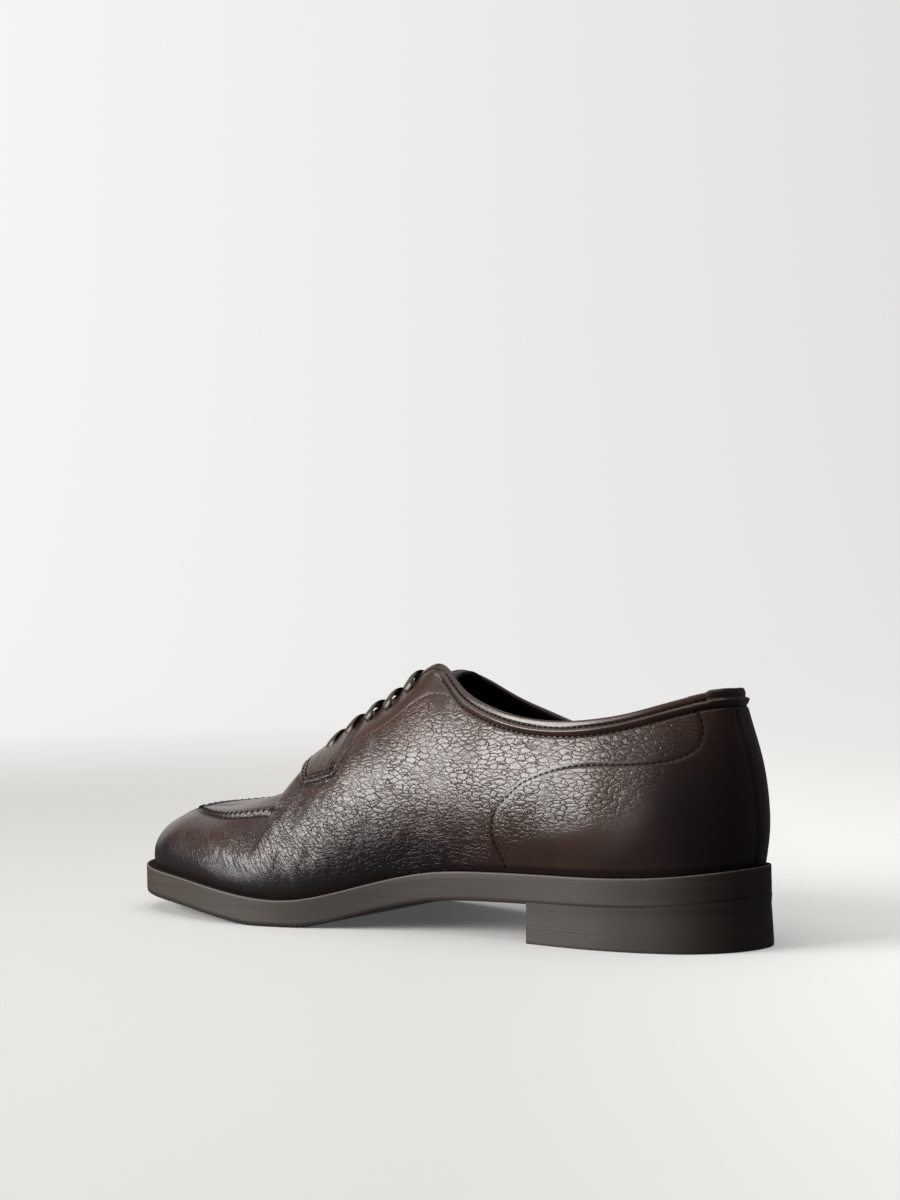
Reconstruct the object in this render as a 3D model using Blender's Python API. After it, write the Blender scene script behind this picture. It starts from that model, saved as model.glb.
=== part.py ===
import bpy
import bmesh
import numpy as np

# Right shoe of a split toe derby, +X to the toe, +Y to the medial side, +Z up, metres.
# The floor is z = 0 and the origin lies under the middle of the sole's box.

# Driving sizes
sole_length = 0.304
ball_width = 0.106
heel_width = 0.072
instep_rise = 0.0945
heel_lift = 0.0152
toe_spring = 0.0081
heel_length = 0.086
welt_thickness = 0.0024
midsole_thickness = 0.0032
outsole_thickness = 0.0053
top_piece_thickness = 0.006
heel_flare = 0.0009
welt_strip_width = 0.012
midsole_step = 0.0004
welt_margin = 0.0045
upper_wall = 0.0022
tongue_thickness = 0.0025
tongue_play = 0.0012
tongue_arch = 0.3
insole_thickness = 0.003
insole_play = 0.0012
clearance = 0.0003
ridge_height = 0.0016
ridge_width = 0.003
split_seam_height = 0.0007
facing_step = 0.0012
collar_bead_height = 0.0009
collar_bead_drop = 0.005
lace_width = 0.0046
lace_thickness = 0.0024
lace_inset = 0.008
lace_bars = 5

sole_stack = welt_thickness + midsole_thickness + outsole_thickness + 2 * clearance

# Sole outline: station along the sole, medial and lateral half widths as shares of the local
# width, and how far the local width is the heel's (1) or the ball's (0)
outline_rows = [
    # station, medial, lateral, heel part
    (0.000, 0.000, 0.000, 1.0),
    (0.027, 0.290, 0.240, 1.0),
    (0.066, 0.410, 0.380, 1.0),
    (0.115, 0.470, 0.463, 1.0),
    (0.181, 0.500, 0.507, 1.0),
    (0.253, 0.480, 0.521, 1.0),
    (0.329, 0.355, 0.440, 0.5),
    (0.411, 0.278, 0.405, 0.0),
    (0.493, 0.290, 0.466, 0.0),
    (0.576, 0.347, 0.523, 0.0),
    (0.658, 0.408, 0.560, 0.0),
    (0.730, 0.429, 0.560, 0.0),
    (0.806, 0.403, 0.520, 0.0),
    (0.872, 0.347, 0.440, 0.0),
    (0.928, 0.288, 0.349, 0.0),
    (0.968, 0.204, 0.242, 0.0),
    (1.000, 0.000, 0.000, 0.0),
]

# Top of the welt above the sole stack, as shares of the heel lift and of the toe spring
profile_rows = [
    # station, heel share, toe share
    (0.00, 1.270, 0.00),
    (0.10, 1.085, 0.00),
    (0.25, 1.010, 0.00),
    (0.36, 0.950, 0.00),
    (0.46, 0.800, 0.00),
    (0.56, 0.340, 0.00),
    (0.65, -0.028, 0.00),
    (0.72, 0.000, 0.04),
    (0.80, 0.000, 0.42),
    (0.90, 0.000, 0.76),
    (1.00, 0.000, 1.00),
]

# How far the upper's foot line lies inside the sole's edge, as shares of the welt margin
margin_rows = [
    # station, medial, lateral
    (0.00, 0.44, 0.44),
    (0.25, 0.44, 0.56),
    (0.45, 0.56, 0.89),
    (0.65, 0.96, 1.00),
    (1.00, 0.84, 0.84),
]

# Free edge of the upper from heel to throat. Run is the share of the foot line from heel to toe,
# stations are shares of the sole length, halves of the heel width, heights of the instep rise
edge_rows = [
    # run, station, medial half, lateral half, medial height, lateral height
    (0.000, 0.034, 0.000, 0.000, 0.892, 0.892),
    (0.040, 0.039, 0.118, 0.096, 0.894, 0.890),
    (0.080, 0.059, 0.204, 0.178, 0.883, 0.873),
    (0.130, 0.099, 0.292, 0.266, 0.848, 0.818),
    (0.190, 0.161, 0.361, 0.328, 0.799, 0.751),
    (0.250, 0.227, 0.392, 0.367, 0.778, 0.714),
    (0.320, 0.303, 0.378, 0.361, 0.792, 0.720),
    (0.380, 0.365, 0.319, 0.314, 0.839, 0.788),
    (0.430, 0.419, 0.225, 0.222, 0.911, 0.884),
    (0.480, 0.474, 0.111, 0.118, 1.000, 0.971),
    (0.530, 0.533, 0.094, 0.094, 0.890, 0.884),
    (0.580, 0.587, 0.087, 0.087, 0.795, 0.788),
    (0.630, 0.641, 0.083, 0.083, 0.687, 0.683),
    (0.670, 0.683, 0.079, 0.079, 0.602, 0.602),
    (0.695, 0.709, 0.067, 0.067, 0.530, 0.530),
    (0.710, 0.722, 0.000, 0.000, 0.465, 0.465),
]
throat_run = 0.71

# Middle line of the apron, where the two sides of the vamp meet
spine_rows = [
    # run, station, height
    (0.71, 0.722, 0.465),
    (0.76, 0.753, 0.429),
    (0.82, 0.789, 0.384),
    (0.88, 0.822, 0.357),
    (0.94, 0.847, 0.343),
    (1.00, 0.862, 0.337),
]

# Shape of each section between foot and edge: rises and drops are shares of the instep rise,
# swells and leans are shares of the ball width
section_rows = [
    # run, rise, swell, medial lean, medial drop, lateral lean, lateral drop
    (0.00, 0.233, 0.042, 0.075, 0.296, 0.075, 0.296),
    (0.10, 0.233, 0.042, 0.075, 0.254, 0.075, 0.254),
    (0.20, 0.233, 0.042, 0.075, 0.233, 0.085, 0.233),
    (0.30, 0.243, 0.057, 0.075, 0.233, 0.104, 0.233),
    (0.40, 0.265, 0.085, 0.113, 0.243, 0.132, 0.212),
    (0.48, 0.296, 0.094, 0.170, 0.201, 0.208, 0.180),
    (0.58, 0.286, 0.066, 0.189, 0.127, 0.245, 0.106),
    (0.66, 0.254, 0.042, 0.179, 0.095, 0.264, 0.063),
    (0.71, 0.233, 0.038, 0.179, 0.053, 0.283, 0.021),
    (0.76, 0.212, 0.033, 0.189, 0.021, 0.302, -0.005),
    (0.82, 0.201, 0.028, 0.203, 0.000, 0.302, -0.034),
    (0.88, 0.190, 0.028, 0.208, -0.011, 0.264, -0.044),
    (0.94, 0.180, 0.030, 0.208, -0.013, 0.236, -0.036),
    (1.00, 0.175, 0.033, 0.208, -0.016, 0.208, -0.016),
]

# Apron seam on each side, as shares of the way up the section, and how much of it is raised
seam_rows = [
    # run, medial, lateral, raised
    (0.00, 0.500, 0.500, 0.0),
    (0.62, 0.500, 0.520, 0.0),
    (0.69, 0.570, 0.590, 0.0),
    (0.72, 0.585, 0.595, 1.0),
    (0.76, 0.546, 0.585, 1.0),
    (0.80, 0.531, 0.565, 1.0),
    (0.85, 0.562, 0.555, 1.0),
    (0.90, 0.607, 0.580, 1.0),
    (0.95, 0.642, 0.625, 1.0),
    (1.00, 0.660, 0.660, 1.0),
]

# Width of the facing strip down from the free edge as shares of the instep rise, how far it is
# raised as a step, and how far the collar's bead is raised
strip_rows = [
    # run, width, step, bead
    (0.000, 0.055, 0.0, 1.0),
    (0.420, 0.055, 0.0, 1.0),
    (0.455, 0.110, 0.3, 0.4),
    (0.480, 0.165, 0.8, 0.0),
    (0.505, 0.196, 1.0, 0.0),
    (0.545, 0.180, 1.0, 0.0),
    (0.580, 0.195, 1.0, 0.0),
    (0.592, 0.290, 1.0, 0.0),
    (0.645, 0.255, 1.0, 0.0),
    (0.690, 0.150, 1.0, 0.0),
    (0.706, 0.050, 1.0, 0.0),
    (0.712, 0.040, 0.0, 0.0),
    (1.000, 0.040, 0.0, 0.0),
]

# Rows of the tongue: run of the section that it lies under, its reach down each side and how much
# deeper than the wall its middle lies, as shares of the instep rise
tongue_rows = [
    # run, reach, dip
    (0.740, 0.20, 0.015),
    (0.722, 0.22, 0.020),
    (0.700, 0.23, 0.050),
    (0.680, 0.24, 0.055),
    (0.650, 0.25, 0.030),
    (0.610, 0.25, 0.010),
    (0.570, 0.26, 0.000),
    (0.535, 0.27, 0.000),
    (0.505, 0.28, 0.000),
    (0.485, 0.28, 0.000),
    (0.468, 0.26, 0.000),
    (0.455, 0.22, 0.000),
    (0.446, 0.15, 0.000),
]

# Sections that the lowest and highest lace bars lie on
lace_runs = (0.636, 0.512)

# Mesh: levels of the wall below the apron seam, and places of the ridge's crest and inner foot as
# shares of its width, of the strip's step as shares of its own sizes
wall_levels = (0.0, 0.06, 0.16, 0.30, 0.46, 0.62, 0.80, 1.0)
ridge_crest = 0.45
ridge_foot = 1.1
step_slope = 0.6
bead_slope = 0.45
throat_rows = 33
toe_rows = 15
plate_rows = 40
outline_points = 401
curve_points = 61

# Steps in run and up the section, in metres, between which slopes and normals are measured
run_step = 0.004
level_step = 0.001
merge_distance = 0.00001
ring_sides = 8

# Places of the tongue's and the lace's points below the free edge, as shares of their reach, and
# how far each of the tongue's points dips
tongue_levels = (1.0, 0.7, 0.4, 0.15)
tongue_dips = (0.2, 0.5, 0.8, 1.0)
lace_levels = (1.0, 0.7, 0.4, 0.1)

up = np.array([0.0, 0.0, 1.0])


# Curves from tables

def spline(at, knots, values):
    """Natural cubic spline through rows of values at the knots."""
    at = np.atleast_1d(np.asarray(at, float))
    knots = np.asarray(knots, float)
    values = np.asarray(values, float)
    count = len(knots)
    step = np.diff(knots)
    matrix = np.eye(count)
    right = np.zeros((count, values.shape[1]))
    for row in range(1, count - 1):
        matrix[row, row - 1:row + 2] = (step[row - 1], 2 * (step[row - 1] + step[row]), step[row])
        slope_after = (values[row + 1] - values[row]) / step[row]
        slope_before = (values[row] - values[row - 1]) / step[row - 1]
        right[row] = 6 * (slope_after - slope_before)
    bend = np.linalg.solve(matrix, right)
    cell = np.clip(np.searchsorted(knots, at, side="right") - 1, 0, count - 2)
    width = step[cell][:, None]
    near = (knots[cell + 1] - at)[:, None] / width
    far = (at - knots[cell])[:, None] / width
    curve = near * values[cell] + far * values[cell + 1]
    return curve + ((near ** 3 - near) * bend[cell] + (far ** 3 - far) * bend[cell + 1]) * width ** 2 / 6


def table_curve(at, rows):
    """Spline of a table whose first column is the position."""
    table = np.array(rows)
    return spline(at, table[:, 0], table[:, 1:])


def table_lines(at, rows, column):
    """Straight lines between the rows of one column."""
    table = np.array(rows)
    return np.interp(at, table[:, 0], table[:, column])


# Sole outline and profile

def turn_of(station):
    """Angle whose cosine gives the station, so that the round ends get many points."""
    return np.arccos(np.clip(1 - 2 * np.asarray(station, float), -1, 1))


def half_widths(station):
    """Medial and lateral half widths of the sole at the stations."""
    table = np.array(outline_rows)
    local = table[:, 3] * heel_width + (1 - table[:, 3]) * ball_width
    return spline(turn_of(station), turn_of(table[:, 0]), table[:, 1:3] * local[:, None])


def welt_top(x):
    """Height of the welt's upper face at distances x from the heel's back."""
    shares = table_curve(np.clip(np.ravel(x) / sole_length, 0, 1), profile_rows)
    height = sole_stack + shares[:, 0] * heel_lift + shares[:, 1] * toe_spring
    return height.reshape(np.shape(x))


def edge_line(side, inset, points=outline_points):
    """Sole outline on one side, heel centre to toe centre, moved inwards by the inset."""
    turn = np.linspace(0, np.pi, points)
    station = (1 - np.cos(turn)) / 2
    half = half_widths(station)[:, 0 if side > 0 else 1]
    x = station * sole_length
    dx = np.gradient(x, turn)
    dy = np.gradient(half, turn)
    dx[[0, -1]] = 0
    length = np.hypot(dx, dy)
    moved = np.maximum(half - dx / length * inset, 0)
    moved[[0, -1]] = 0
    return x + dy / length * inset, moved


widest_medial, widest_lateral = half_widths(np.linspace(0, 1, outline_points)).max(axis=0)
middle_offset = float(widest_lateral - widest_medial) / 2


def to_world(points):
    """Moves points from the heel's back and the shoe's axis to the origin under the box's middle."""
    return points + np.array([-sole_length / 2, middle_offset, 0.0])


# Upper's surface

def foot_line(side, run):
    """Points where the upper meets the welt and the outward direction there."""
    station = (1 - np.cos(np.linspace(0, np.pi, outline_points))) / 2
    inset = table_lines(station, margin_rows, 1 if side > 0 else 2) * welt_margin
    x, half = edge_line(side, inset)
    way = np.concatenate([[0], np.cumsum(np.hypot(np.diff(x), np.diff(half)))])
    way /= way[-1]
    foot_x = np.interp(run, way, x)
    foot_half = np.interp(run, way, half)
    out_x = -np.interp(run, way, np.gradient(half, way))
    out_half = np.interp(run, way, np.gradient(x, way))
    out_half = np.where((run <= 0) | (run >= 1), 0, out_half)
    length = np.hypot(out_x, out_half)
    foot = np.stack([foot_x, side * foot_half, welt_top(foot_x) + clearance], -1)
    out = np.stack([out_x / length, side * out_half / length, np.zeros_like(length)], -1)
    return foot, out


def top_line(side, run):
    """Free edge of the upper up to the throat, and the apron's middle line in front of it."""
    back = table_curve(np.minimum(run, throat_run), edge_rows)
    half = back[:, 1 if side > 0 else 2] * heel_width
    height = sole_stack + back[:, 3 if side > 0 else 4] * instep_rise
    edge = np.stack([back[:, 0] * sole_length, side * half, height], -1)
    front = table_curve(np.maximum(run, throat_run), spine_rows)
    height = sole_stack + front[:, 1] * instep_rise
    spine = np.stack([front[:, 0] * sole_length, np.zeros_like(height), height], -1)
    return np.where((run < throat_run)[:, None], edge, spine)


def upper_sheet(side, run, share):
    """Last surface on one side: points at arc shares from foot to edge, and section lengths."""
    run = np.atleast_1d(np.asarray(run, float))
    foot, out = foot_line(side, run)
    top = top_line(side, run)
    shape = table_curve(run, section_rows)
    lean, drop = (shape[:, 2], shape[:, 3]) if side > 0 else (shape[:, 4], shape[:, 5])
    level = (foot - top) * np.array([1.0, 1.0, 0.0])
    level /= np.linalg.norm(level, axis=1)[:, None]
    low = foot + out * (shape[:, 1] * ball_width)[:, None] + up * (shape[:, 0] * instep_rise)[:, None]
    high = top + level * (lean * ball_width)[:, None] - up * (drop * instep_rise)[:, None]
    t = np.linspace(0, 1, curve_points)[None, :, None]
    fine = ((1 - t) ** 3 * foot[:, None] + 3 * t * (1 - t) ** 2 * low[:, None]
            + 3 * t * t * (1 - t) * high[:, None] + t ** 3 * top[:, None])
    parts = np.linalg.norm(np.diff(fine, axis=1), axis=2)
    way = np.concatenate([np.zeros((len(parts), 1)), np.cumsum(parts, 1)], 1)
    length = way[:, -1]
    share = np.broadcast_to(share, (len(run), np.shape(share)[-1]))
    points = np.empty(share.shape + (3,))
    for row in range(len(run)):
        for axis in range(3):
            points[row, :, axis] = np.interp(share[row] * length[row], way[row], fine[row, :, axis])
    return points, length


def section_levels(side, run):
    """Levels of the upper's mesh up each section as arc shares, closer at the seam and strip."""
    length = upper_sheet(side, run, np.array([0.0, 1.0]))[1]
    seam = table_lines(run, seam_rows, 1 if side > 0 else 2)
    strip = table_lines(run, strip_rows, 1) * instep_rise
    foot = seam[:, None] * np.array(wall_levels)
    slope = max(facing_step * step_slope, collar_bead_drop * bead_slope)
    crest = (seam + ridge_crest * ridge_width / length)[:, None]
    inner = (seam + ridge_foot * ridge_width / length)[:, None]
    low = (1 - (strip + slope) / length)[:, None]
    high = (1 - strip / length)[:, None]
    near = (1 - strip / 2 / length)[:, None]
    middle = inner + (low - inner) * np.array([1 / 3, 2 / 3])
    return np.concatenate([foot, crest, inner, middle, low, high, near, np.ones_like(near)], 1)


def raised(run):
    """How far each level of each section stands off the last surface."""
    seam = table_lines(run, seam_rows, 3)[:, None]
    step = table_lines(run, strip_rows, 2)[:, None]
    bead = table_lines(run, strip_rows, 3)[:, None]
    lift = np.zeros((len(run), len(wall_levels) + 8))
    crest = len(wall_levels)
    lift[:, crest:crest + 1] = ridge_height * seam
    lift[:, -3:] = facing_step * step
    lift[:, -3:-2] += collar_bead_height * bead
    split = np.clip(1 - (1 - run) * sole_length / ridge_width, 0, 1)[:, None]
    lift[:, 1:crest] = np.maximum(lift[:, 1:crest], split_seam_height * split)
    return lift


# Mesh helpers

def material_of(name, colour, roughness):
    """Principled material with one colour and roughness."""
    material = bpy.data.materials.new(name)
    material.use_nodes = True
    shader = material.node_tree.nodes["Principled BSDF"]
    shader.inputs["Base Color"].default_value = (*colour, 1.0)
    shader.inputs["Roughness"].default_value = roughness
    shader.inputs["Metallic"].default_value = 0.0
    return material


def build_object(name, points, faces, material, smooth_angle=0.7):
    """Object from points in the shoe's frame, with its faces turned outwards."""
    mesh = bpy.data.meshes.new(name)
    mesh.from_pydata(to_world(np.asarray(points)).tolist(), [], faces)
    edit = bmesh.new()
    edit.from_mesh(mesh)
    bmesh.ops.remove_doubles(edit, verts=edit.verts, dist=merge_distance)
    bmesh.ops.recalc_face_normals(edit, faces=edit.faces)
    bmesh.ops.triangulate(edit, faces=[face for face in edit.faces if len(face.verts) > 3])
    edit.to_mesh(mesh)
    edit.free()
    mesh.shade_smooth()
    mesh.set_sharp_from_angle(angle=smooth_angle)
    mesh.materials.append(material)
    part = bpy.data.objects.new(name, mesh)
    bpy.context.collection.objects.link(part)
    return part


def grid_normals(grid, closed):
    """Unit normals of a grid of points, wrapped along its first direction where closed."""
    if closed:
        along = np.roll(grid, -1, axis=0) - np.roll(grid, 1, axis=0)
    else:
        along = np.gradient(grid, axis=0)
    across = np.gradient(grid, axis=1)
    normal = np.cross(along, across)
    return normal / np.maximum(np.linalg.norm(normal, axis=2), 1e-9)[..., None]


# Upper

def upper_runs():
    """Runs of the mesh's sections on one side, heel to toe, with one at the throat."""
    back = np.linspace(0, throat_run, throat_rows + 1)
    front = np.linspace(throat_run, 1, toe_rows + 1)[1:]
    beside_split = 1 - ridge_width / sole_length
    return np.concatenate([back, front[:-1], [beside_split, 1.0]])


def upper_shell():
    """Outer points, inner points and the throat's section index of the closed loop of sections."""
    run = upper_runs()
    medial = upper_sheet(1, run, section_levels(1, run))[0]
    lateral = upper_sheet(-1, run, section_levels(-1, run))[0]
    last = len(run) - 1
    loop = np.concatenate([medial, lateral[last - 1:0:-1]])
    lift = np.concatenate([raised(run), raised(run)[last - 1:0:-1]])
    normal = grid_normals(loop, True)
    normal *= np.sign(normal[throat_rows // 2, 2, 1])
    twin = (-np.arange(len(loop))) % len(loop)
    front = np.arange(throat_rows, len(loop) - throat_rows + 1)
    shared = normal[front, -2] + normal[twin[front], -2]
    normal[front, -1] = shared / np.linalg.norm(shared, axis=1)[:, None]
    outer = loop + normal * lift[..., None]
    inner = loop - normal * upper_wall
    flat = normal[:, 0] * np.array([1.0, 1.0, 0.0])
    flat /= np.linalg.norm(flat, axis=1)[:, None]
    inner[:, 0] = loop[:, 0] - flat * upper_wall
    inner[:, 0, 2] = welt_top(inner[:, 0, 0]) + clearance
    return outer, inner, front, twin


def make_upper(leather):
    """One hollow wall from the foot line to the collar and facings, with the vamp closed."""
    outer, inner, front, twin = upper_shell()
    count, levels = outer.shape[:2]
    number = np.arange(2 * count * levels).reshape(2, count, levels)
    joined = front[front > count // 2]
    number[:, joined, -1] = number[:, twin[joined], -1]
    faces = []
    for row in range(count):
        ahead = (row + 1) % count
        for level in range(levels - 1):
            for wall in range(2):
                corner = number[wall]
                faces.append((corner[row, level], corner[ahead, level],
                              corner[ahead, level + 1], corner[row, level + 1]))
        faces.append((number[0, row, 0], number[0, ahead, 0], number[1, ahead, 0], number[1, row, 0]))
        if row not in front or ahead not in front:
            faces.append((number[0, row, -1], number[0, ahead, -1],
                          number[1, ahead, -1], number[1, row, -1]))
    points = np.concatenate([outer.reshape(-1, 3), inner.reshape(-1, 3)])
    used = np.unique(np.concatenate([np.array(face) for face in faces]))
    renumber = np.zeros(len(points), int)
    renumber[used] = np.arange(len(used))
    faces = [tuple(int(v) for v in renumber[list(face)]) for face in faces]
    return build_object("upper", points[used], faces, leather)


# Sole pieces

def plate_rim(inset, start=0.0, end=1.0):
    """Medial and lateral rim points of a plate cut from the sole's outline between two stations."""
    rims = []
    for side in (1, -1):
        x, half = edge_line(side, inset)
        first = max(start * sole_length, x[0])
        final = min(end * sole_length, x[-1])
        turn = turn_of((x - x[0]) / (x[-1] - x[0]))
        at = turn_of((np.array([first, final]) - x[0]) / (x[-1] - x[0]))
        sample = np.linspace(at[0], at[1], plate_rows + 1)
        rims.append((np.interp(sample, turn, x), side * np.interp(sample, turn, half)))
    return rims


def plate_object(name, rims, lower_rims, top_of, bottom_of, material):
    """Closed plate between two heights that follow x, with its rim at the given points."""
    (top_mx, top_my), (top_lx, top_ly) = rims
    (low_mx, low_my), (low_lx, low_ly) = lower_rims
    count = len(top_mx)
    rows = []
    for x, y, height in ((top_mx, top_my, top_of), (top_lx, top_ly, top_of),
                         (low_lx, low_ly, bottom_of), (low_mx, low_my, bottom_of)):
        rows.append(np.stack([x, y, height(x)], -1))
    points = np.concatenate(rows)
    faces = []
    for row in range(count - 1):
        for corner in range(4):
            following = (corner + 1) % 4
            faces.append((corner * count + row, corner * count + row + 1,
                          following * count + row + 1, following * count + row))
    faces.append(tuple(corner * count for corner in range(4)))
    faces.append(tuple(corner * count + count - 1 for corner in range(4)))
    return build_object(name, points, faces, material)


def make_welt(rubber):
    """Strip that the upper stands on: the sole's outline with its middle left open."""
    rims = [plate_rim(0.0), plate_rim(welt_strip_width)]
    loops = []
    for rim in rims:
        for thickness in (0.0, welt_thickness):
            (mx, my), (lx, ly) = rim
            x = np.concatenate([mx, lx[-2:0:-1]])
            y = np.concatenate([my, ly[-2:0:-1]])
            loops.append(np.stack([x, y, welt_top(x) - thickness], -1))
    order = (0, 1, 3, 2)
    count = len(loops[0])
    faces = []
    for row in range(count):
        ahead = (row + 1) % count
        for corner in range(4):
            near = order[corner] * count
            far = order[(corner + 1) % 4] * count
            faces.append((near + row, near + ahead, far + ahead, far + row))
    return build_object("welt", np.concatenate(loops), faces, rubber)


def make_sole(rubber, heel_rubber):
    """Midsole, outsole, heel block and top piece, each a plate under the one before."""
    midsole_top = welt_thickness + clearance
    midsole_bottom = midsole_top + midsole_thickness
    outsole_top = midsole_bottom + clearance
    rim = plate_rim(midsole_step)
    plate_object("midsole", rim, rim, lambda x: welt_top(x) - midsole_top,
                 lambda x: welt_top(x) - midsole_bottom, rubber)
    rim = plate_rim(0.0)
    plate_object("outsole", rim, rim, lambda x: welt_top(x) - outsole_top,
                 lambda x: np.maximum(welt_top(x) - sole_stack, 0.0), rubber)
    breast = heel_length / sole_length
    block = plate_rim(midsole_step, 0.0, breast)
    foot = plate_rim(midsole_step - heel_flare, 0.0, breast)
    block_bottom = top_piece_thickness + clearance
    plate_object("heel_block", block, foot, lambda x: welt_top(x) - sole_stack - clearance,
                 lambda x: np.full_like(x, block_bottom), heel_rubber)
    plate_object("top_piece", foot, foot, lambda x: np.full_like(x, top_piece_thickness),
                 lambda x: np.zeros_like(x), heel_rubber)


def make_insole(lining):
    """Board inside the upper's foot line, lying over the welt's inner edge."""
    inset = welt_margin + upper_wall + insole_play
    rim = plate_rim(inset)
    plate_object("insole", rim, rim, lambda x: welt_top(x) + clearance + insole_thickness,
                 lambda x: welt_top(x) + clearance, lining)


# Tongue

def near_edge(side, run, down):
    """Points on one section at distances below the free edge, and the normals there, upwards."""
    length = upper_sheet(side, np.array([run]), np.array([0.0, 1.0]))[1][0]
    levels = 1 - np.concatenate([down + level_step, down]) / length
    sections = upper_sheet(side, np.array([run - run_step, run, run + run_step]), levels)[0]
    count = len(down)
    along = sections[2, count:] - sections[0, count:]
    across = sections[1, count:] - sections[1, :count]
    normal = np.cross(along, across)
    normal /= np.linalg.norm(normal, axis=1)[:, None]
    normal *= np.sign(normal[:, 2])[:, None]
    return sections[1, count:], normal


def tongue_sheet(depth):
    """Points of the tongue's face at a depth under the last surface, a row for each section."""
    rows = []
    for run, reach, dip in tongue_rows:
        down = np.array(tongue_levels) * reach * instep_rise
        depths = depth + np.array(tongue_dips) * dip * instep_rise
        arms = []
        for side in (1, -1):
            points, normal = near_edge(side, run, down)
            arms.append(points - normal * depths[:, None])
        medial, lateral = arms
        bridge = (medial[-1] - lateral[-1])[None, :] * np.array([[0.25], [0.0], [-0.25]])
        middle = (medial[-1] + lateral[-1]) / 2 + bridge
        half = abs(medial[-1, 1] - lateral[-1, 1]) / 2
        middle[:, 2] += half * tongue_arch * np.array([0.75, 1.0, 0.75])
        rows.append(np.concatenate([medial, middle, lateral[::-1]]))
    return np.array(rows)


def make_tongue(leather):
    """Padded tongue under the facings, bridged across the lacing gap and arched at its top."""
    top = tongue_sheet(upper_wall + tongue_play)
    bottom = tongue_sheet(upper_wall + tongue_play + tongue_thickness)
    rows, columns = top.shape[:2]
    number = np.arange(2 * rows * columns).reshape(2, rows, columns)
    faces = []
    for row in range(rows - 1):
        for column in range(columns - 1):
            for skin in range(2):
                corner = number[skin]
                faces.append((corner[row, column], corner[row + 1, column],
                              corner[row + 1, column + 1], corner[row, column + 1]))
        for column in (0, columns - 1):
            faces.append((number[0, row, column], number[0, row + 1, column],
                          number[1, row + 1, column], number[1, row, column]))
    for column in range(columns - 1):
        for row in (0, rows - 1):
            faces.append((number[0, row, column], number[0, row, column + 1],
                          number[1, row, column + 1], number[1, row, column]))
    faces = [tuple(int(v) for v in face) for face in faces]
    points = np.concatenate([top.reshape(-1, 3), bottom.reshape(-1, 3)])
    return build_object("tongue", points, faces, leather)


# Lace bars

def lace_path(run):
    """Middle line of one lace bar from the medial to the lateral facing, just over the leather."""
    lift = facing_step + clearance * 3 + lace_thickness / 2
    ends = []
    for side in (1, -1):
        points, normal = near_edge(side, run, np.array(lace_levels) * lace_inset)
        ends.append(points + normal * lift)
    middle = (ends[0][-1] + ends[1][-1])[None, :] / 2
    return np.concatenate([ends[0], middle, ends[1][::-1]])


def make_lace_bar(name, run, cord):
    """Flat rounded bar swept along its path."""
    path = lace_path(run)
    along = np.gradient(path, axis=0)
    along /= np.linalg.norm(along, axis=1)[:, None]
    slope = top_line(1, np.array([run + run_step]))[0] - top_line(1, np.array([run - run_step]))[0]
    slope[1] = 0
    slope /= np.linalg.norm(slope)
    flat = slope[None, :] - along * (along @ slope)[:, None]
    flat /= np.linalg.norm(flat, axis=1)[:, None]
    thick = np.cross(along, flat)
    turn = np.linspace(0, 2 * np.pi, ring_sides + 1)[:-1]
    ring = (flat[:, None] * (np.cos(turn) * lace_width / 2)[None, :, None]
            + thick[:, None] * (np.sin(turn) * lace_thickness / 2)[None, :, None])
    points = (path[:, None] + ring).reshape(-1, 3)
    sides = len(turn)
    faces = []
    for row in range(len(path) - 1):
        for corner in range(sides):
            following = (corner + 1) % sides
            faces.append((row * sides + corner, row * sides + following,
                          (row + 1) * sides + following, (row + 1) * sides + corner))
    faces.append(tuple(range(sides)))
    faces.append(tuple(range((len(path) - 1) * sides, len(path) * sides)))
    return build_object(name, points, faces, cord)


def main():
    for thing in list(bpy.data.objects):
        bpy.data.objects.remove(thing)
    leather = material_of("brown_leather", (0.045, 0.026, 0.022), 0.42)
    lining = material_of("black_lining", (0.012, 0.010, 0.010), 0.6)
    rubber = material_of("sole_rubber", (0.055, 0.045, 0.040), 0.6)
    heel_rubber = material_of("heel_rubber", (0.048, 0.040, 0.036), 0.62)
    cord = material_of("lace_cotton", (0.020, 0.014, 0.012), 0.7)
    make_upper(leather)
    make_tongue(lining)
    make_insole(lining)
    make_welt(rubber)
    make_sole(rubber, heel_rubber)
    for index, run in enumerate(np.linspace(lace_runs[0], lace_runs[1], lace_bars)):
        make_lace_bar(f"lace_bar_{index + 1}", run, cord)


main()
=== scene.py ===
import bpy
import math
import numpy as np
from mathutils import Matrix


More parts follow.
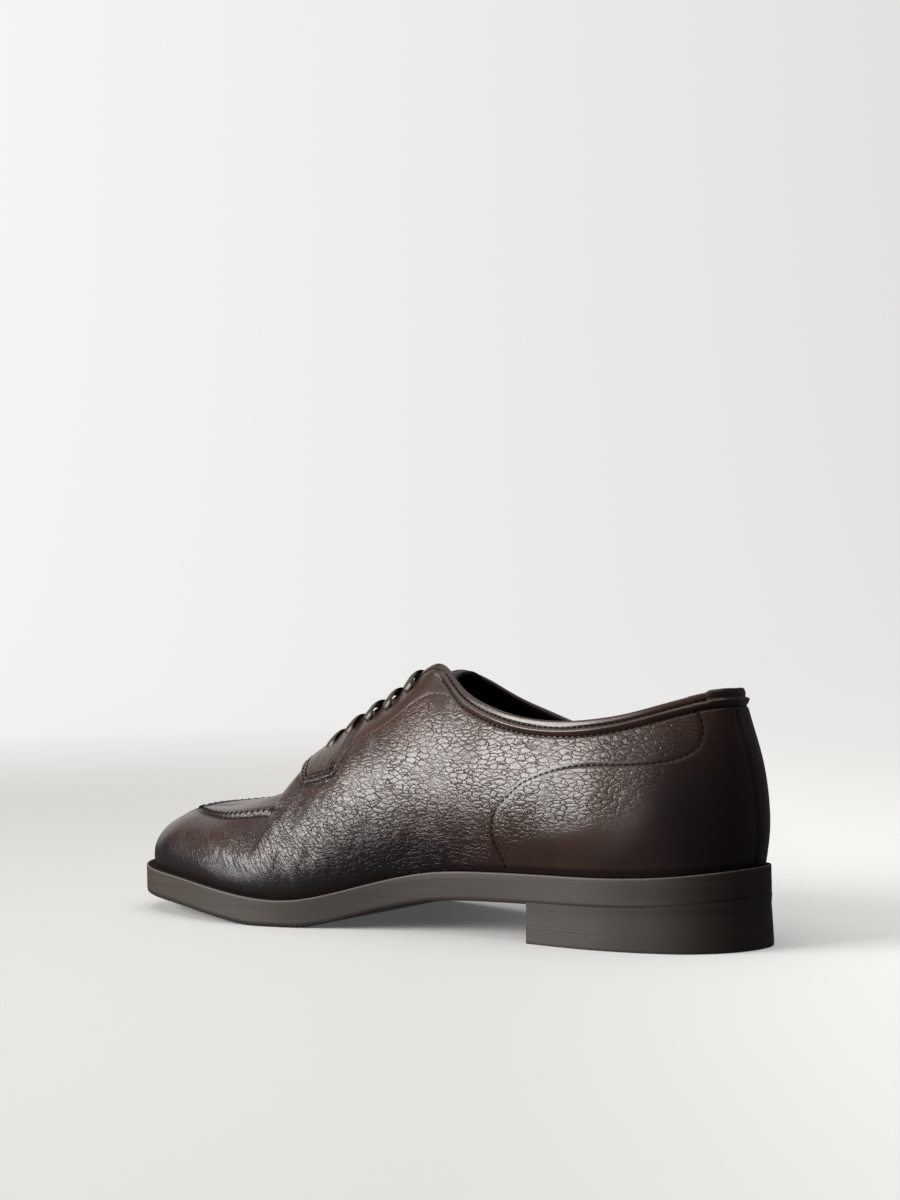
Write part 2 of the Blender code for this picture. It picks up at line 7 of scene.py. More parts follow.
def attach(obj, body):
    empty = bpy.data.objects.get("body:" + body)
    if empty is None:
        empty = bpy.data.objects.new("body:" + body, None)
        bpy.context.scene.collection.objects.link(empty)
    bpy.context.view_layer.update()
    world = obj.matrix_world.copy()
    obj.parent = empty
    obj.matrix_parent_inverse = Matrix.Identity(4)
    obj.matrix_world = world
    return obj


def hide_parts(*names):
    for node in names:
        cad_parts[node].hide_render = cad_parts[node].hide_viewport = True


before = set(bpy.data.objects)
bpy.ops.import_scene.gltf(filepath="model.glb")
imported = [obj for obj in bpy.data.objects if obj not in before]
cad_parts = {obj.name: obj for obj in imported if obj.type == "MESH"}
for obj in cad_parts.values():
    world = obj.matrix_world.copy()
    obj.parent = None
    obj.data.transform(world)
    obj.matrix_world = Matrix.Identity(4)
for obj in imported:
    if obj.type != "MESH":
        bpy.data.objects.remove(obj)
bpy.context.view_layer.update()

# Shoe's own sizes in metres, the same as in the CAD
shoe = {
    "soleLength": 0.304, "ballWidth": 0.106, "heelWidth": 0.072, "instepRise": 0.0945,
    "heelLift": 0.0152, "toeSpring": 0.0081, "heelLength": 0.086,
    "weltThick": 0.0024, "midsoleThick": 0.0032, "outsoleThick": 0.0053, "topPieceThick": 0.006,
    "weltMargin": 0.0045, "weltStrip": 0.012, "heelFlare": 0.0009,
    "wall": 0.0022, "play": 0.0003, "throatRun": 0.71, "splitRidge": 0.0007, "facingStep": 0.0012,
    "tongueThick": 0.0025, "tonguePlay": 0.0012, "tongueArch": 0.3,
    "insoleThick": 0.003, "insolePlay": 0.0012,
}
stack = shoe["weltThick"] + shoe["midsoleThick"] + shoe["outsoleThick"] + 2 * shoe["play"]
upward = np.array([0.0, 0.0, 1.0])

# Sole outline: station, medial and lateral half width as shares, part of the heel's width
outlineRows = [
    (0.000, 0.000, 0.000, 1.0), (0.027, 0.290, 0.240, 1.0), (0.066, 0.410, 0.380, 1.0),
    (0.115, 0.470, 0.463, 1.0), (0.181, 0.500, 0.507, 1.0), (0.253, 0.480, 0.521, 1.0),
    (0.329, 0.355, 0.440, 0.5), (0.411, 0.278, 0.405, 0.0), (0.493, 0.290, 0.466, 0.0),
    (0.576, 0.347, 0.523, 0.0), (0.658, 0.408, 0.560, 0.0), (0.730, 0.429, 0.560, 0.0),
    (0.806, 0.403, 0.520, 0.0), (0.872, 0.347, 0.440, 0.0), (0.928, 0.288, 0.349, 0.0),
    (0.968, 0.204, 0.242, 0.0), (1.000, 0.000, 0.000, 0.0),
]

# Welt's height: station, share of the heel lift, share of the toe spring
profileRows = [
    (0.00, 1.270, 0.00), (0.10, 1.085, 0.00), (0.25, 1.010, 0.00), (0.36, 0.950, 0.00),
    (0.46, 0.800, 0.00), (0.56, 0.340, 0.00), (0.65, -0.028, 0.00), (0.72, 0.000, 0.04),
    (0.80, 0.000, 0.42), (0.90, 0.000, 0.76), (1.00, 0.000, 1.00),
]

# Foot line's inset as shares of the welt margin: station, medial, lateral
marginRows = [
    (0.00, 0.44, 0.44), (0.25, 0.44, 0.56), (0.45, 0.56, 0.89), (0.65, 0.96, 1.00), (1.00, 0.84, 0.84),
]

# Free edge: run, station, medial half, lateral half, medial height, lateral height
edgeRows = [
    (0.000, 0.034, 0.000, 0.000, 0.892, 0.892), (0.040, 0.039, 0.118, 0.096, 0.894, 0.890),
    (0.080, 0.059, 0.204, 0.178, 0.883, 0.873), (0.130, 0.099, 0.292, 0.266, 0.848, 0.818),
    (0.190, 0.161, 0.361, 0.328, 0.799, 0.751), (0.250, 0.227, 0.392, 0.367, 0.778, 0.714),
    (0.320, 0.303, 0.378, 0.361, 0.792, 0.720), (0.380, 0.365, 0.319, 0.314, 0.839, 0.788),
    (0.430, 0.419, 0.225, 0.222, 0.911, 0.884), (0.480, 0.474, 0.111, 0.118, 1.000, 0.971),
    (0.530, 0.533, 0.094, 0.094, 0.890, 0.884), (0.580, 0.587, 0.087, 0.087, 0.795, 0.788),
    (0.630, 0.641, 0.083, 0.083, 0.687, 0.683), (0.670, 0.683, 0.079, 0.079, 0.602, 0.602),
    (0.695, 0.709, 0.067, 0.067, 0.530, 0.530), (0.710, 0.722, 0.000, 0.000, 0.465, 0.465),
]

# Apron's middle line: run, station, height
spineRows = [
    (0.71, 0.722, 0.465), (0.76, 0.753, 0.429), (0.82, 0.789, 0.384),
    (0.88, 0.822, 0.357), (0.94, 0.847, 0.343), (1.00, 0.862, 0.337),
]

# Sections: run, rise, swell, medial lean, medial drop, lateral lean, lateral drop
sectionRows = [
    (0.00, 0.233, 0.042, 0.075, 0.296, 0.075, 0.296), (0.10, 0.233, 0.042, 0.075, 0.254, 0.075, 0.254),
    (0.20, 0.233, 0.042, 0.075, 0.233, 0.085, 0.233), (0.30, 0.243, 0.057, 0.075, 0.233, 0.104, 0.233),
    (0.40, 0.265, 0.085, 0.113, 0.243, 0.132, 0.212), (0.48, 0.296, 0.094, 0.170, 0.201, 0.208, 0.180),
    (0.58, 0.286, 0.066, 0.189, 0.127, 0.245, 0.106), (0.66, 0.254, 0.042, 0.179, 0.095, 0.264, 0.063),
    (0.71, 0.233, 0.038, 0.179, 0.053, 0.283, 0.021), (0.76, 0.212, 0.033, 0.189, 0.021, 0.302, -0.005),
    (0.82, 0.201, 0.028, 0.203, 0.000, 0.302, -0.034), (0.88, 0.190, 0.028, 0.208, -0.011, 0.264, -0.044),
    (0.94, 0.180, 0.030, 0.208, -0.013, 0.236, -0.036), (1.00, 0.175, 0.033, 0.208, -0.016, 0.208, -0.016),
]

# Apron seam up the section: run, medial share, lateral share, how much of it is raised
seamRows = [
    (0.00, 0.500, 0.500, 0.0), (0.62, 0.500, 0.520, 0.0), (0.69, 0.570, 0.590, 0.0),
    (0.72, 0.585, 0.595, 1.0), (0.76, 0.546, 0.585, 1.0), (0.80, 0.531, 0.565, 1.0),
    (0.85, 0.562, 0.555, 1.0), (0.90, 0.607, 0.580, 1.0), (0.95, 0.642, 0.625, 1.0),
    (1.00, 0.660, 0.660, 1.0),
]

# Facing tab's lower edge, seen from its front corner to the collar: run, metres below the free edge
facingRows = [
    (0.691, 0.0000), (0.685, 0.0040), (0.677, 0.0100), (0.670, 0.0160), (0.664, 0.0205), (0.658, 0.0234),
    (0.644, 0.0252), (0.616, 0.0283), (0.5990, 0.0302), (0.5970, 0.0296), (0.5980, 0.0236),
]
# Stitched line that goes on from the tab to the collar: run, metres below the free edge
stripRows = [
    (0.597, 0.0236), (0.593, 0.0206), (0.584, 0.0184), (0.560, 0.0175), (0.542, 0.0174), (0.506, 0.0178),
    (0.478, 0.0155), (0.456, 0.0107), (0.440, 0.0075),
]
# Counter's stitched line: run, share up the section
counterRows = [
    (0.336, 0.020), (0.342, 0.112), (0.348, 0.208), (0.348, 0.285), (0.338, 0.415), (0.324, 0.488),
    (0.306, 0.577), (0.284, 0.635), (0.244, 0.700), (0.214, 0.708), (0.176, 0.688), (0.140, 0.665),
    (0.118, 0.658), (0.100, 0.669), (0.086, 0.704), (0.079, 0.762), (0.078, 0.812), (0.081, 0.877),
    (0.086, 0.915),
]
# Main crease below the tab's front corner: run, share up the section
flexRows = [(0.664, 0.700), (0.650, 0.562), (0.640, 0.458), (0.627, 0.331), (0.618, 0.230)]


# Natural cubic spline: straight blend of two knots plus their second derivatives times cubes
def spline(at, knots, values):
    at = np.atleast_1d(np.asarray(at, float))
    knots = np.asarray(knots, float)
    values = np.asarray(values, float)
    count = len(knots)
    step = np.diff(knots)
    matrix = np.eye(count)
    right = np.zeros((count, values.shape[1]))
    for row in range(1, count - 1):
        matrix[row, row - 1:row + 2] = (step[row - 1], 2 * (step[row - 1] + step[row]), step[row])
        after = (values[row + 1] - values[row]) / step[row]
        before = (values[row] - values[row - 1]) / step[row - 1]
        right[row] = 6 * (after - before)
    bend = np.linalg.solve(matrix, right)
    cell = np.clip(np.searchsorted(knots, at, side="right") - 1, 0, count - 2)
    width = step[cell][:, None]
    near = (knots[cell + 1] - at)[:, None] / width
    far = (at - knots[cell])[:, None] / width
    curve = near * values[cell] + far * values[cell + 1]
    return curve + ((near ** 3 - near) * bend[cell] + (far ** 3 - far) * bend[cell + 1]) * width ** 2 / 6


# Spline through a table's columns, with the first column as its place
def tableCurve(at, rows):
    table = np.array(rows)
    return spline(at, table[:, 0], table[:, 1:])


# Straight lines through one column of a table
def tableLines(at, rows, column):
    table = np.array(rows)
    return np.interp(at, table[:, 0], table[:, column])


# Soft step from 0 to 1 across a width about zero, and a bell of a width about zero
def softStep(x, width):
    share = np.clip(x / width + 0.5, 0, 1)
    return share * share * (3 - 2 * share)


def bell(x, width):
    return np.exp(-(x / width) ** 2)


# Sum of seeded sine waves in space, about -1 to 1, with waves about one length long
def wander(points, length, seed, waves=14):
    source = np.random.default_rng(seed)
    way = source.normal(size=(waves, 3))
    pitch = (2 * np.pi / length) * source.uniform(0.6, 1.5, waves)[:, None]
    way *= pitch / np.linalg.norm(way, axis=1)[:, None]
    turn = source.uniform(0, 2 * np.pi, waves)
    return np.sin(points @ way.T + turn).sum(-1) / math.sqrt(waves)


# Vectors over their length
def unit(vectors):
    return vectors / np.maximum(np.linalg.norm(vectors, axis=-1), 1e-12)[..., None]


# Distance travelled along a list of points
def wayAlong(points):
    return np.concatenate([[0], np.cumsum(np.linalg.norm(np.diff(points, axis=0), axis=1))])


# Table column with a side's value where medial comes first
def columnOf(side):
    return 1 if side > 0 else 2


# Angle whose cosine goes from 1 at the heel to -1 at the toe as the station goes from 0 to 1
def turnOf(station):
    return np.arccos(np.clip(1 - 2 * np.asarray(station, float), -1, 1))


# Medial and lateral half width: spline over that angle of share times heel's or ball's width
def halfWidths(station):
    table = np.array(outlineRows)
    local = table[:, 3] * shoe["heelWidth"] + (1 - table[:, 3]) * shoe["ballWidth"]
    return spline(turnOf(station), turnOf(table[:, 0]), table[:, 1:3] * local[:, None])


# Welt's height: stack plus shares of the heel lift and toe spring
def weltTop(x):
    shares = tableCurve(np.clip(np.ravel(x) / shoe["soleLength"], 0, 1), profileRows)
    height = stack + shares[:, 0] * shoe["heelLift"] + shares[:, 1] * shoe["toeSpring"]
    return height.reshape(np.shape(x))


# Angles at which the outline is worked out, so that its stations lie closer at heel and toe
edgeTurn = np.linspace(0, np.pi, 401)


# Outline of one side, moved inward along its normal by an inset
def edgeLine(side, inset):
    station = (1 - np.cos(edgeTurn)) / 2
    half = halfWidths(station)[:, columnOf(side) - 1]
    x = station * shoe["soleLength"]
    dx = np.gradient(x, edgeTurn)
    dy = np.gradient(half, edgeTurn)
    dx[[0, -1]] = 0
    length = np.hypot(dx, dy)
    moved = np.maximum(half - dx / length * inset, 0)
    moved[[0, -1]] = 0
    return x + dy / length * inset, moved


widest = halfWidths(np.linspace(0, 1, 401)).max(axis=0)
middleOffset = float(widest[1] - widest[0]) / 2
origin = np.array([-shoe["soleLength"] / 2, middleOffset, 0.0])


# Foot line by its own length: outline moved in by the table's margin, with its outward direction
def footLine(side, run):
    inset = tableLines((1 - np.cos(edgeTurn)) / 2, marginRows, columnOf(side)) * shoe["weltMargin"]
    x, half = edgeLine(side, inset)
    way = wayAlong(np.stack([x, half], -1))
    way /= way[-1]
    footX = np.interp(run, way, x)
    footHalf = np.interp(run, way, half)
    outX = -np.interp(run, way, np.gradient(half, way))
    outHalf = np.interp(run, way, np.gradient(x, way))
    outHalf = np.where((run <= 0) | (run >= 1), 0, outHalf)
    foot = np.stack([footX, side * footHalf, weltTop(footX) + shoe["play"]], -1)
    return foot, unit(np.stack([outX, side * outHalf, np.zeros_like(outX)], -1))


# Free edge up to the throat's front, then the apron's middle line
def topLine(side, run):
    back = tableCurve(np.minimum(run, shoe["throatRun"]), edgeRows)
    half = back[:, columnOf(side)] * shoe["heelWidth"]
    height = stack + back[:, columnOf(side) + 2] * shoe["instepRise"]
    edge = np.stack([back[:, 0] * shoe["soleLength"], side * half, height], -1)
    front = tableCurve(np.maximum(run, shoe["throatRun"]), spineRows)
    height = stack + front[:, 1] * shoe["instepRise"]
    spine = np.stack([front[:, 0] * shoe["soleLength"], np.zeros_like(height), height], -1)
    return np.where((run < shoe["throatRun"])[:, None], edge, spine)


# Last surface: cubic curve from foot line to edge in each section, walked by its arc length
def upperSheet(side, run, share, steps=80):
    run = np.atleast_1d(np.asarray(run, float))
    foot, out = footLine(side, run)
    top = topLine(side, run)
    shape = tableCurve(run, sectionRows)
    lean, drop = shape[:, 2 * columnOf(side)], shape[:, 2 * columnOf(side) + 1]
    level = unit((foot - top) * np.array([1.0, 1.0, 0.0]))
    rise = upward * (shape[:, 0] * shoe["instepRise"])[:, None]
    low = foot + out * (shape[:, 1] * shoe["ballWidth"])[:, None] + rise
    high = top + level * (lean * shoe["ballWidth"])[:, None] - upward * (drop * shoe["instepRise"])[:, None]
    climb = np.linspace(0, 1, steps + 1)[None, :, None]
    fine = ((1 - climb) ** 3 * foot[:, None] + 3 * climb * (1 - climb) ** 2 * low[:, None]
            + 3 * climb * climb * (1 - climb) * high[:, None] + climb ** 3 * top[:, None])
    parts = np.linalg.norm(np.diff(fine, axis=1), axis=2)
    way = np.concatenate([np.zeros((len(parts), 1)), np.cumsum(parts, 1)], 1)
    length = way[:, -1]
    target = np.broadcast_to(share, (len(run), np.shape(share)[-1])) * length[:, None]
    cell = np.stack([np.searchsorted(*pair, side="right") for pair in zip(way, target)]) - 1
    cell = np.clip(cell, 0, steps - 1)
    rows = np.arange(len(run))[:, None]
    part = (target - way[rows, cell]) / (way[rows, cell + 1] - way[rows, cell])
    points = fine[rows, cell] * (1 - part[..., None]) + fine[rows, cell + 1] * part[..., None]
    return points, length


# Length of each section from foot line to edge
def sheetLength(side, run):
    return upperSheet(side, run, np.array([0.0, 1.0]))[1]


# Object of a point list and quads or polygons, with smooth faces, in the row frame
def meshObject(name, points, quads, material, polygons=()):
    mesh = bpy.data.meshes.new(name)
    points = np.asarray(points, float) + origin
    quads = np.asarray(quads, int).reshape(-1, 4)
    loops = np.concatenate([quads.ravel(), *polygons])
    totals = np.concatenate([np.full(len(quads), 4), [len(polygon) for polygon in polygons]])
    mesh.vertices.add(len(points))
    mesh.vertices.foreach_set("co", points.astype(np.float32).ravel())
    mesh.loops.add(len(loops))
    mesh.loops.foreach_set("vertex_index", loops.astype(np.int32))
    mesh.polygons.add(len(totals))
    mesh.polygons.foreach_set("loop_start", (np.cumsum(totals) - totals).astype(np.int32))
    mesh.polygons.foreach_set("loop_total", totals.astype(np.int32))
    mesh.update(calc_edges=True)
    mesh.validate()
    mesh.shade_smooth()
    mesh.materials.append(material)
    made = bpy.data.objects.new(name, mesh)
    bpy.context.collection.objects.link(made)
    return made


# Attribute with one number or one vector for each point
def addValue(made, name, values):
    values = np.asarray(values, np.float32)
    kind, field = ("FLOAT", "value") if values.ndim == 1 else ("FLOAT_VECTOR", "vector")
    layer = made.data.attributes.new(name, kind, "POINT")
    layer.data.foreach_set(field, values.ravel())


# Numbers of a grid's points, in rows, counted on from the first
def numbersOf(grid, first=0):
    return first + np.arange(grid.shape[0] * grid.shape[1]).reshape(grid.shape[:2])


# Quads of a grid of vertex numbers, optionally closed round its first direction
def gridQuads(number, closed=False):
    ahead = np.roll(number, -1, axis=0) if closed else number[1:]
    here = number if closed else number[:-1]
    return np.stack([here[:, :-1], ahead[:, :-1], ahead[:, 1:], here[:, 1:]], -1).reshape(-1, 4)


# Piece on the only body, hiding the nodes that it stands for
def ridePiece(made, nodes=()):
    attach(made, "root")
    if nodes:
        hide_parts(*nodes)
    return made


# Material with its tree and Principled shader
def newMaterial(name):
    material = bpy.data.materials.new(name)
    material.use_nodes = True
    tree = material.node_tree
    return material, tree, tree.nodes["Principled BSDF"]


# Node of a kind with its settings
def node(tree, kind, **settings):
    made = tree.nodes.new(kind)
    for key, value in settings.items():
        setattr(made, key, value)
    return made


# Socket set to a value, or linked to an output
def feed(tree, socket, value):
    if isinstance(value, (int, float, tuple)):
        socket.default_value = value
    else:
        tree.links.new(value, socket)


# Several sockets set by name
def setInputs(made, values):
    for key, value in values.items():
        made.inputs[key].default_value = value


# Result of one operation on two or three values
def maths(tree, operation, first, second=0.0, third=None, clamp=False):
    made = node(tree, "ShaderNodeMath", operation=operation, use_clamp=clamp)
    feed(tree, made.inputs[0], first)
    feed(tree, made.inputs[1], second)
    if third is not None:
        feed(tree, made.inputs[2], third)
    return made.outputs[0]


# Product of two or more values
def product(tree, first, *others):
    for other in others:
        first = maths(tree, "MULTIPLY", first, other)
    return first


# Soft step of a value between two limits, onto a start and an end
def ramp(tree, value, low, high, start=0.0, end=1.0):
    made = node(tree, "ShaderNodeMapRange", interpolation_type="SMOOTHSTEP")
    feed(tree, made.inputs["Value"], value)
    setInputs(made, {"From Min": low, "From Max": high, "To Min": start, "To Max": end})
    return made.outputs["Result"]


# Second colour over the first by a share
def mixColour(tree, share, first, second):
    made = node(tree, "ShaderNodeMix", data_type="RGBA")
    feed(tree, made.inputs["Factor"], share)
    feed(tree, made.inputs["A"], first)
    feed(tree, made.inputs["B"], second)
    return made.outputs["Result"]


# Fractal noise at a number of waves per metre
def noiseOf(tree, vector, scale, detail=2.0, rough=0.5, output="Fac"):
    made = node(tree, "ShaderNodeTexNoise")
    feed(tree, made.inputs["Vector"], vector)
    setInputs(made, {"Scale": scale, "Detail": detail, "Roughness": rough})
    return made.outputs[output]


# Distance to the nearest border between random cells
def cellsOf(tree, vector, scale):
    made = node(tree, "ShaderNodeTexVoronoi", feature="DISTANCE_TO_EDGE")
    feed(tree, made.inputs["Vector"], vector)
    setInputs(made, {"Scale": scale, "Randomness": 1.0})
    return made.outputs["Distance"]


# Place turned and scaled along each axis
def stretched(tree, vector, scale, turn=(0.0, 0.0, 0.0)):
    made = node(tree, "ShaderNodeMapping")
    feed(tree, made.inputs["Vector"], vector)
    setInputs(made, {"Scale": scale, "Rotation": turn})
    return made.outputs["Vector"]


# Place on the object in metres
def objectPlace(tree):
    return node(tree, "ShaderNodeTexCoord").outputs["Object"]


# Value or vector of the piece's own attribute
def valueOf(tree, name, output="Fac"):
    return node(tree, "ShaderNodeAttribute", attribute_name=name).outputs[output]


# Bump of a height in metres on the shader's normal
def bumpOf(tree, shader, height):
    bump = node(tree, "ShaderNodeBump")
    setInputs(bump, {"Strength": 1.0, "Distance": 1.0})
    feed(tree, bump.inputs["Height"], height)
    tree.links.new(bump.outputs[0], shader.inputs["Normal"])
    return bump.outputs[0]


# Distorted place: the place plus noise times an amount in metres
def warped(tree, vector, scale, amount):
    noise = noiseOf(tree, vector, scale, output="Color")
    shifted = node(tree, "ShaderNodeVectorMath", operation="SUBTRACT")
    feed(tree, shifted.inputs[0], noise)
    shifted.inputs[1].default_value = (0.5, 0.5, 0.5)
    scaled = node(tree, "ShaderNodeVectorMath", operation="SCALE")
    feed(tree, scaled.inputs[0], shifted.outputs[0])
    scaled.inputs["Scale"].default_value = amount
    added = node(tree, "ShaderNodeVectorMath", operation="ADD")
    feed(tree, added.inputs[0], vector)
    feed(tree, added.inputs[1], scaled.outputs[0])
    return added.outputs[0]


# Pebbled grain: cells per metre, how far its lines bend, and its heights in metres
pebble = {
    "stretch": (0.55, 0.9, 1.55), "turn": (0.0, 0.10, 0.0), "patches": 95.0, "big": 385.0, "small": 760.0,
    "pores": 2600.0, "domeHigh": 0.00005, "lineDeep": 0.00011, "poreHigh": 0.000012,
}


# Group with height of the pebbled grain in metres from a place, and how deep in a crease a point is
def makeGrainGroup():
    group = bpy.data.node_groups.new("pebbledGrain", "ShaderNodeTree")
    for name, way, kind in (("Place", "INPUT", "Vector"), ("Coarse", "INPUT", "Float"),
                            ("Height", "OUTPUT", "Float"), ("Crease", "OUTPUT", "Float")):
        group.interface.new_socket(name, in_out=way, socket_type=f"NodeSocket{kind}")
    given = group.nodes.new("NodeGroupInput")
    result = group.nodes.new("NodeGroupOutput")
    place = given.outputs["Place"]
    coarse = given.outputs["Coarse"]
    bent = warped(group, warped(group, place, 150.0, 0.0026), 650.0, 0.0010)
    flat = stretched(group, bent, pebble["stretch"], pebble["turn"])
    deep = ramp(group, noiseOf(group, place, pebble["patches"]), 0.30, 0.55)
    big = cellsOf(group, flat, pebble["big"])
    bigLine = ramp(group, big, 0.0, 0.075, 1.0, 0.0)
    smallLine = ramp(group, cellsOf(group, flat, pebble["small"]), 0.0, 0.16, 1.0, 0.0)
    bigPart = product(group, bigLine, maths(group, "MULTIPLY_ADD", deep, 0.7, 0.3), coarse)
    smallPart = product(group, smallLine, maths(group, "MULTIPLY_ADD", deep, -0.3, 0.55), 0.6)
    crease = maths(group, "MAXIMUM", bigPart, smallPart)
    dome = product(group, ramp(group, big, 0.0, 0.38), coarse)
    pores = noiseOf(group, place, pebble["pores"])
    lines = product(group, crease, -pebble["lineDeep"])
    height = maths(group, "MULTIPLY_ADD", dome, pebble["domeHigh"], lines)
    height = maths(group, "MULTIPLY_ADD", pores, pebble["poreHigh"], height)
    group.links.new(height, result.inputs["Height"])
    group.links.new(crease, result.inputs["Crease"])
    return group


grainGroup = makeGrainGroup()

# Leather of the upper: brown, darkened by the burnish value, which holds real burnish and painted shade,
# grain by the grain value
leather = {
    "brown": (0.030, 0.0141, 0.0098, 1.0), "warm": (0.049, 0.0228, 0.0150, 1.0),
    "burntAndShaded": (0.0085, 0.0065, 0.0078, 1.0), "crease": (0.009, 0.0052, 0.0045, 1.0), "creaseShadeMix": 0.38,
    "rough": 0.31, "smoothRough": 0.24, "specular": 0.13, "coat": 0.86, "coatRough": 0.29,
    "creaseDull": 0.68, "burnishAndShadeDull": 0.8, "seamDull": 0.9, "clouds": 38.0, "fineClouds": 420.0,
    "wrinkleHigh": 0.00014, "wrinkleStretch": (520.0, 120.0, 200.0),
    "pleatHigh": 0.00003, "pleatPitch": 0.0031,
}


# Leather: clouds of two browns, with painted shade in the grain's creases and seam grooves, darkened by
# burnish and painted shade, with a soft coat
def makeLeather():
    material, tree, shader = newMaterial("leather")
    place = objectPlace(tree)
    grain = valueOf(tree, "grain")
    burnishAndShade = valueOf(tree, "burnishAndShade")
    pebbles = node(tree, "ShaderNodeGroup", node_tree=grainGroup)
    feed(tree, pebbles.inputs["Place"], place)
    feed(tree, pebbles.inputs["Coarse"], ramp(tree, grain, 0.15, 0.8))
    clouds = noiseOf(tree, place, leather["clouds"], 4.0, 0.6)
    fine = noiseOf(tree, place, leather["fineClouds"], 3.0, 0.6)
    seamShade = valueOf(tree, "seamShade")
    crease = maths(tree, "MULTIPLY", pebbles.outputs["Crease"], ramp(tree, grain, 0.0, 0.7), clamp=True)
    colour = mixColour(tree, ramp(tree, clouds, 0.35, 0.7), leather["brown"], leather["warm"])
    # Painted shade in the grain's creases, in the crease colour
    colour = mixColour(tree, product(tree, crease, leather["creaseShadeMix"]), colour, leather["crease"])
    # Real burnish at heel and toe, and painted shade at the waist, low vamp and foot line
    colour = mixColour(tree, burnishAndShade, colour, leather["burntAndShaded"])
    # Painted shade in the seam grooves and at the foot, in the crease colour
    tree.links.new(mixColour(tree, seamShade, colour, leather["crease"]), shader.inputs["Base Color"])
    rough = maths(tree, "MULTIPLY_ADD", fine, 0.12, leather["rough"] - 0.06)
    smoother = leather["smoothRough"] - leather["rough"]
    rough = maths(tree, "MULTIPLY_ADD", valueOf(tree, "polish"), smoother, rough)
    tree.links.new(rough, shader.inputs["Roughness"])
    setInputs(shader, {"Coat Roughness": leather["coatRough"], "Specular IOR Level": leather["specular"]})
    # Coat: full on the tops of the grain, less in creases, burnish and seams
    dull = product(tree, crease, leather["creaseDull"])
    dull = maths(tree, "MAXIMUM", dull, product(tree, burnishAndShade, leather["burnishAndShadeDull"]))
    dull = maths(tree, "MAXIMUM", dull, product(tree, seamShade, leather["seamDull"]))
    shine = maths(tree, "SUBTRACT", 1.0, dull, clamp=True)
    tree.links.new(product(tree, shine, leather["coat"]), shader.inputs["Coat Weight"])
    # Height: grain, wrinkles where noise crosses its middle, and pleats of the hand stitches
    height = product(tree, pebbles.outputs["Height"], maths(tree, "MULTIPLY_ADD", grain, 1.0, 0.16))
    bentPlace = warped(tree, valueOf(tree, "creasePlace", "Vector"), 120.0, 0.004)
    wrinkles = noiseOf(tree, stretched(tree, bentPlace, leather["wrinkleStretch"]), 1.0, 1.5)
    lines = maths(tree, "ABSOLUTE", maths(tree, "SUBTRACT", wrinkles, 0.5))
    lines = product(tree, ramp(tree, lines, 0.0, 0.055, -1.0, 0.0), valueOf(tree, "wrinkle"))
    height = maths(tree, "MULTIPLY_ADD", lines, leather["wrinkleHigh"], height)
    seam = node(tree, "ShaderNodeSeparateXYZ")
    feed(tree, seam.inputs[0], valueOf(tree, "seamPlace", "Vector"))
    pleat = maths(tree, "SINE", product(tree, seam.outputs[0], 2 * math.pi / leather["pleatPitch"]))
    height = maths(tree, "MULTIPLY_ADD", product(tree, pleat, seam.outputs[1]), leather["pleatHigh"], height)
    tree.links.new(bumpOf(tree, shader, height), shader.inputs["Coat Normal"])
    return material


# Plain materials: two colours in clouds of a scale, roughness, coat, gloss and depth of the fine bump
plainLooks = {
    "liningLeather": {
        "colour": (0.010, 0.0085, 0.008, 1.0), "dark": (0.006, 0.005, 0.005, 1.0),
        "rough": 0.5, "scale": 300.0, "depth": 0.00004, "coat": 0.0, "gloss": 0.3,
    },
    "insoleLeather": {
        "colour": (0.014, 0.011, 0.010, 1.0), "dark": (0.008, 0.006, 0.006, 1.0),
        "rough": 0.55, "scale": 200.0, "depth": 0.00004, "coat": 0.0, "gloss": 0.3,
    },
    "thread": {
        "colour": (0.010, 0.006, 0.005, 1.0), "dark": (0.006, 0.004, 0.0035, 1.0),
        "light": (0.16, 0.10, 0.085, 1.0),
        "rough": 0.75, "scale": 2500.0, "depth": 0.00002, "coat": 0.0, "gloss": 0.08,
    },
    "lacing": {
        "colour": (0.045, 0.031, 0.027, 1.0), "dark": (0.018, 0.012, 0.010, 1.0),
        "rough": 0.42, "scale": 1600.0, "depth": 0.00006, "coat": 0.2, "gloss": 0.3,
    },
}


# Plain: two colours mixed by clouds, and a bump from the same clouds
def makePlain(name):
    look = plainLooks[name]
    material, tree, shader = newMaterial(name)
    clouds = noiseOf(tree, objectPlace(tree), look["scale"], 3.0, 0.6)
    mixed = mixColour(tree, ramp(tree, clouds, 0.3, 0.7), look["colour"], look["dark"])
    if "light" in look:
        mixed = mixColour(tree, valueOf(tree, "tone"), mixed, look["light"])
    tree.links.new(mixed, shader.inputs["Base Color"])
    shine = {"Roughness": look["rough"], "Coat Weight": look["coat"], "Specular IOR Level": look["gloss"]}
    setInputs(shader, shine)
    bumpOf(tree, shader, product(tree, clouds, look["depth"]))
    return material


# Rubber of the sole's edge: streaks along the edge, faint pores, ribs and a lighter rim line that is a
# painted highlight
rubber = {
    "colour": (0.043, 0.0345, 0.029, 1.0), "dark": (0.034, 0.0265, 0.022, 1.0),
    "rim": (0.16, 0.14, 0.125, 1.0), "shade": (0.012, 0.009, 0.008, 1.0),
    "rough": 0.52, "specular": 0.06, "coat": 0.52, "streakStretch": (14.0, 14.0, 420.0), "pores": 1800.0,
    "ribPitch": 0.0014, "ribDeep": 0.00025, "streakHigh": 0.00004, "poreHigh": 0.00002,
}
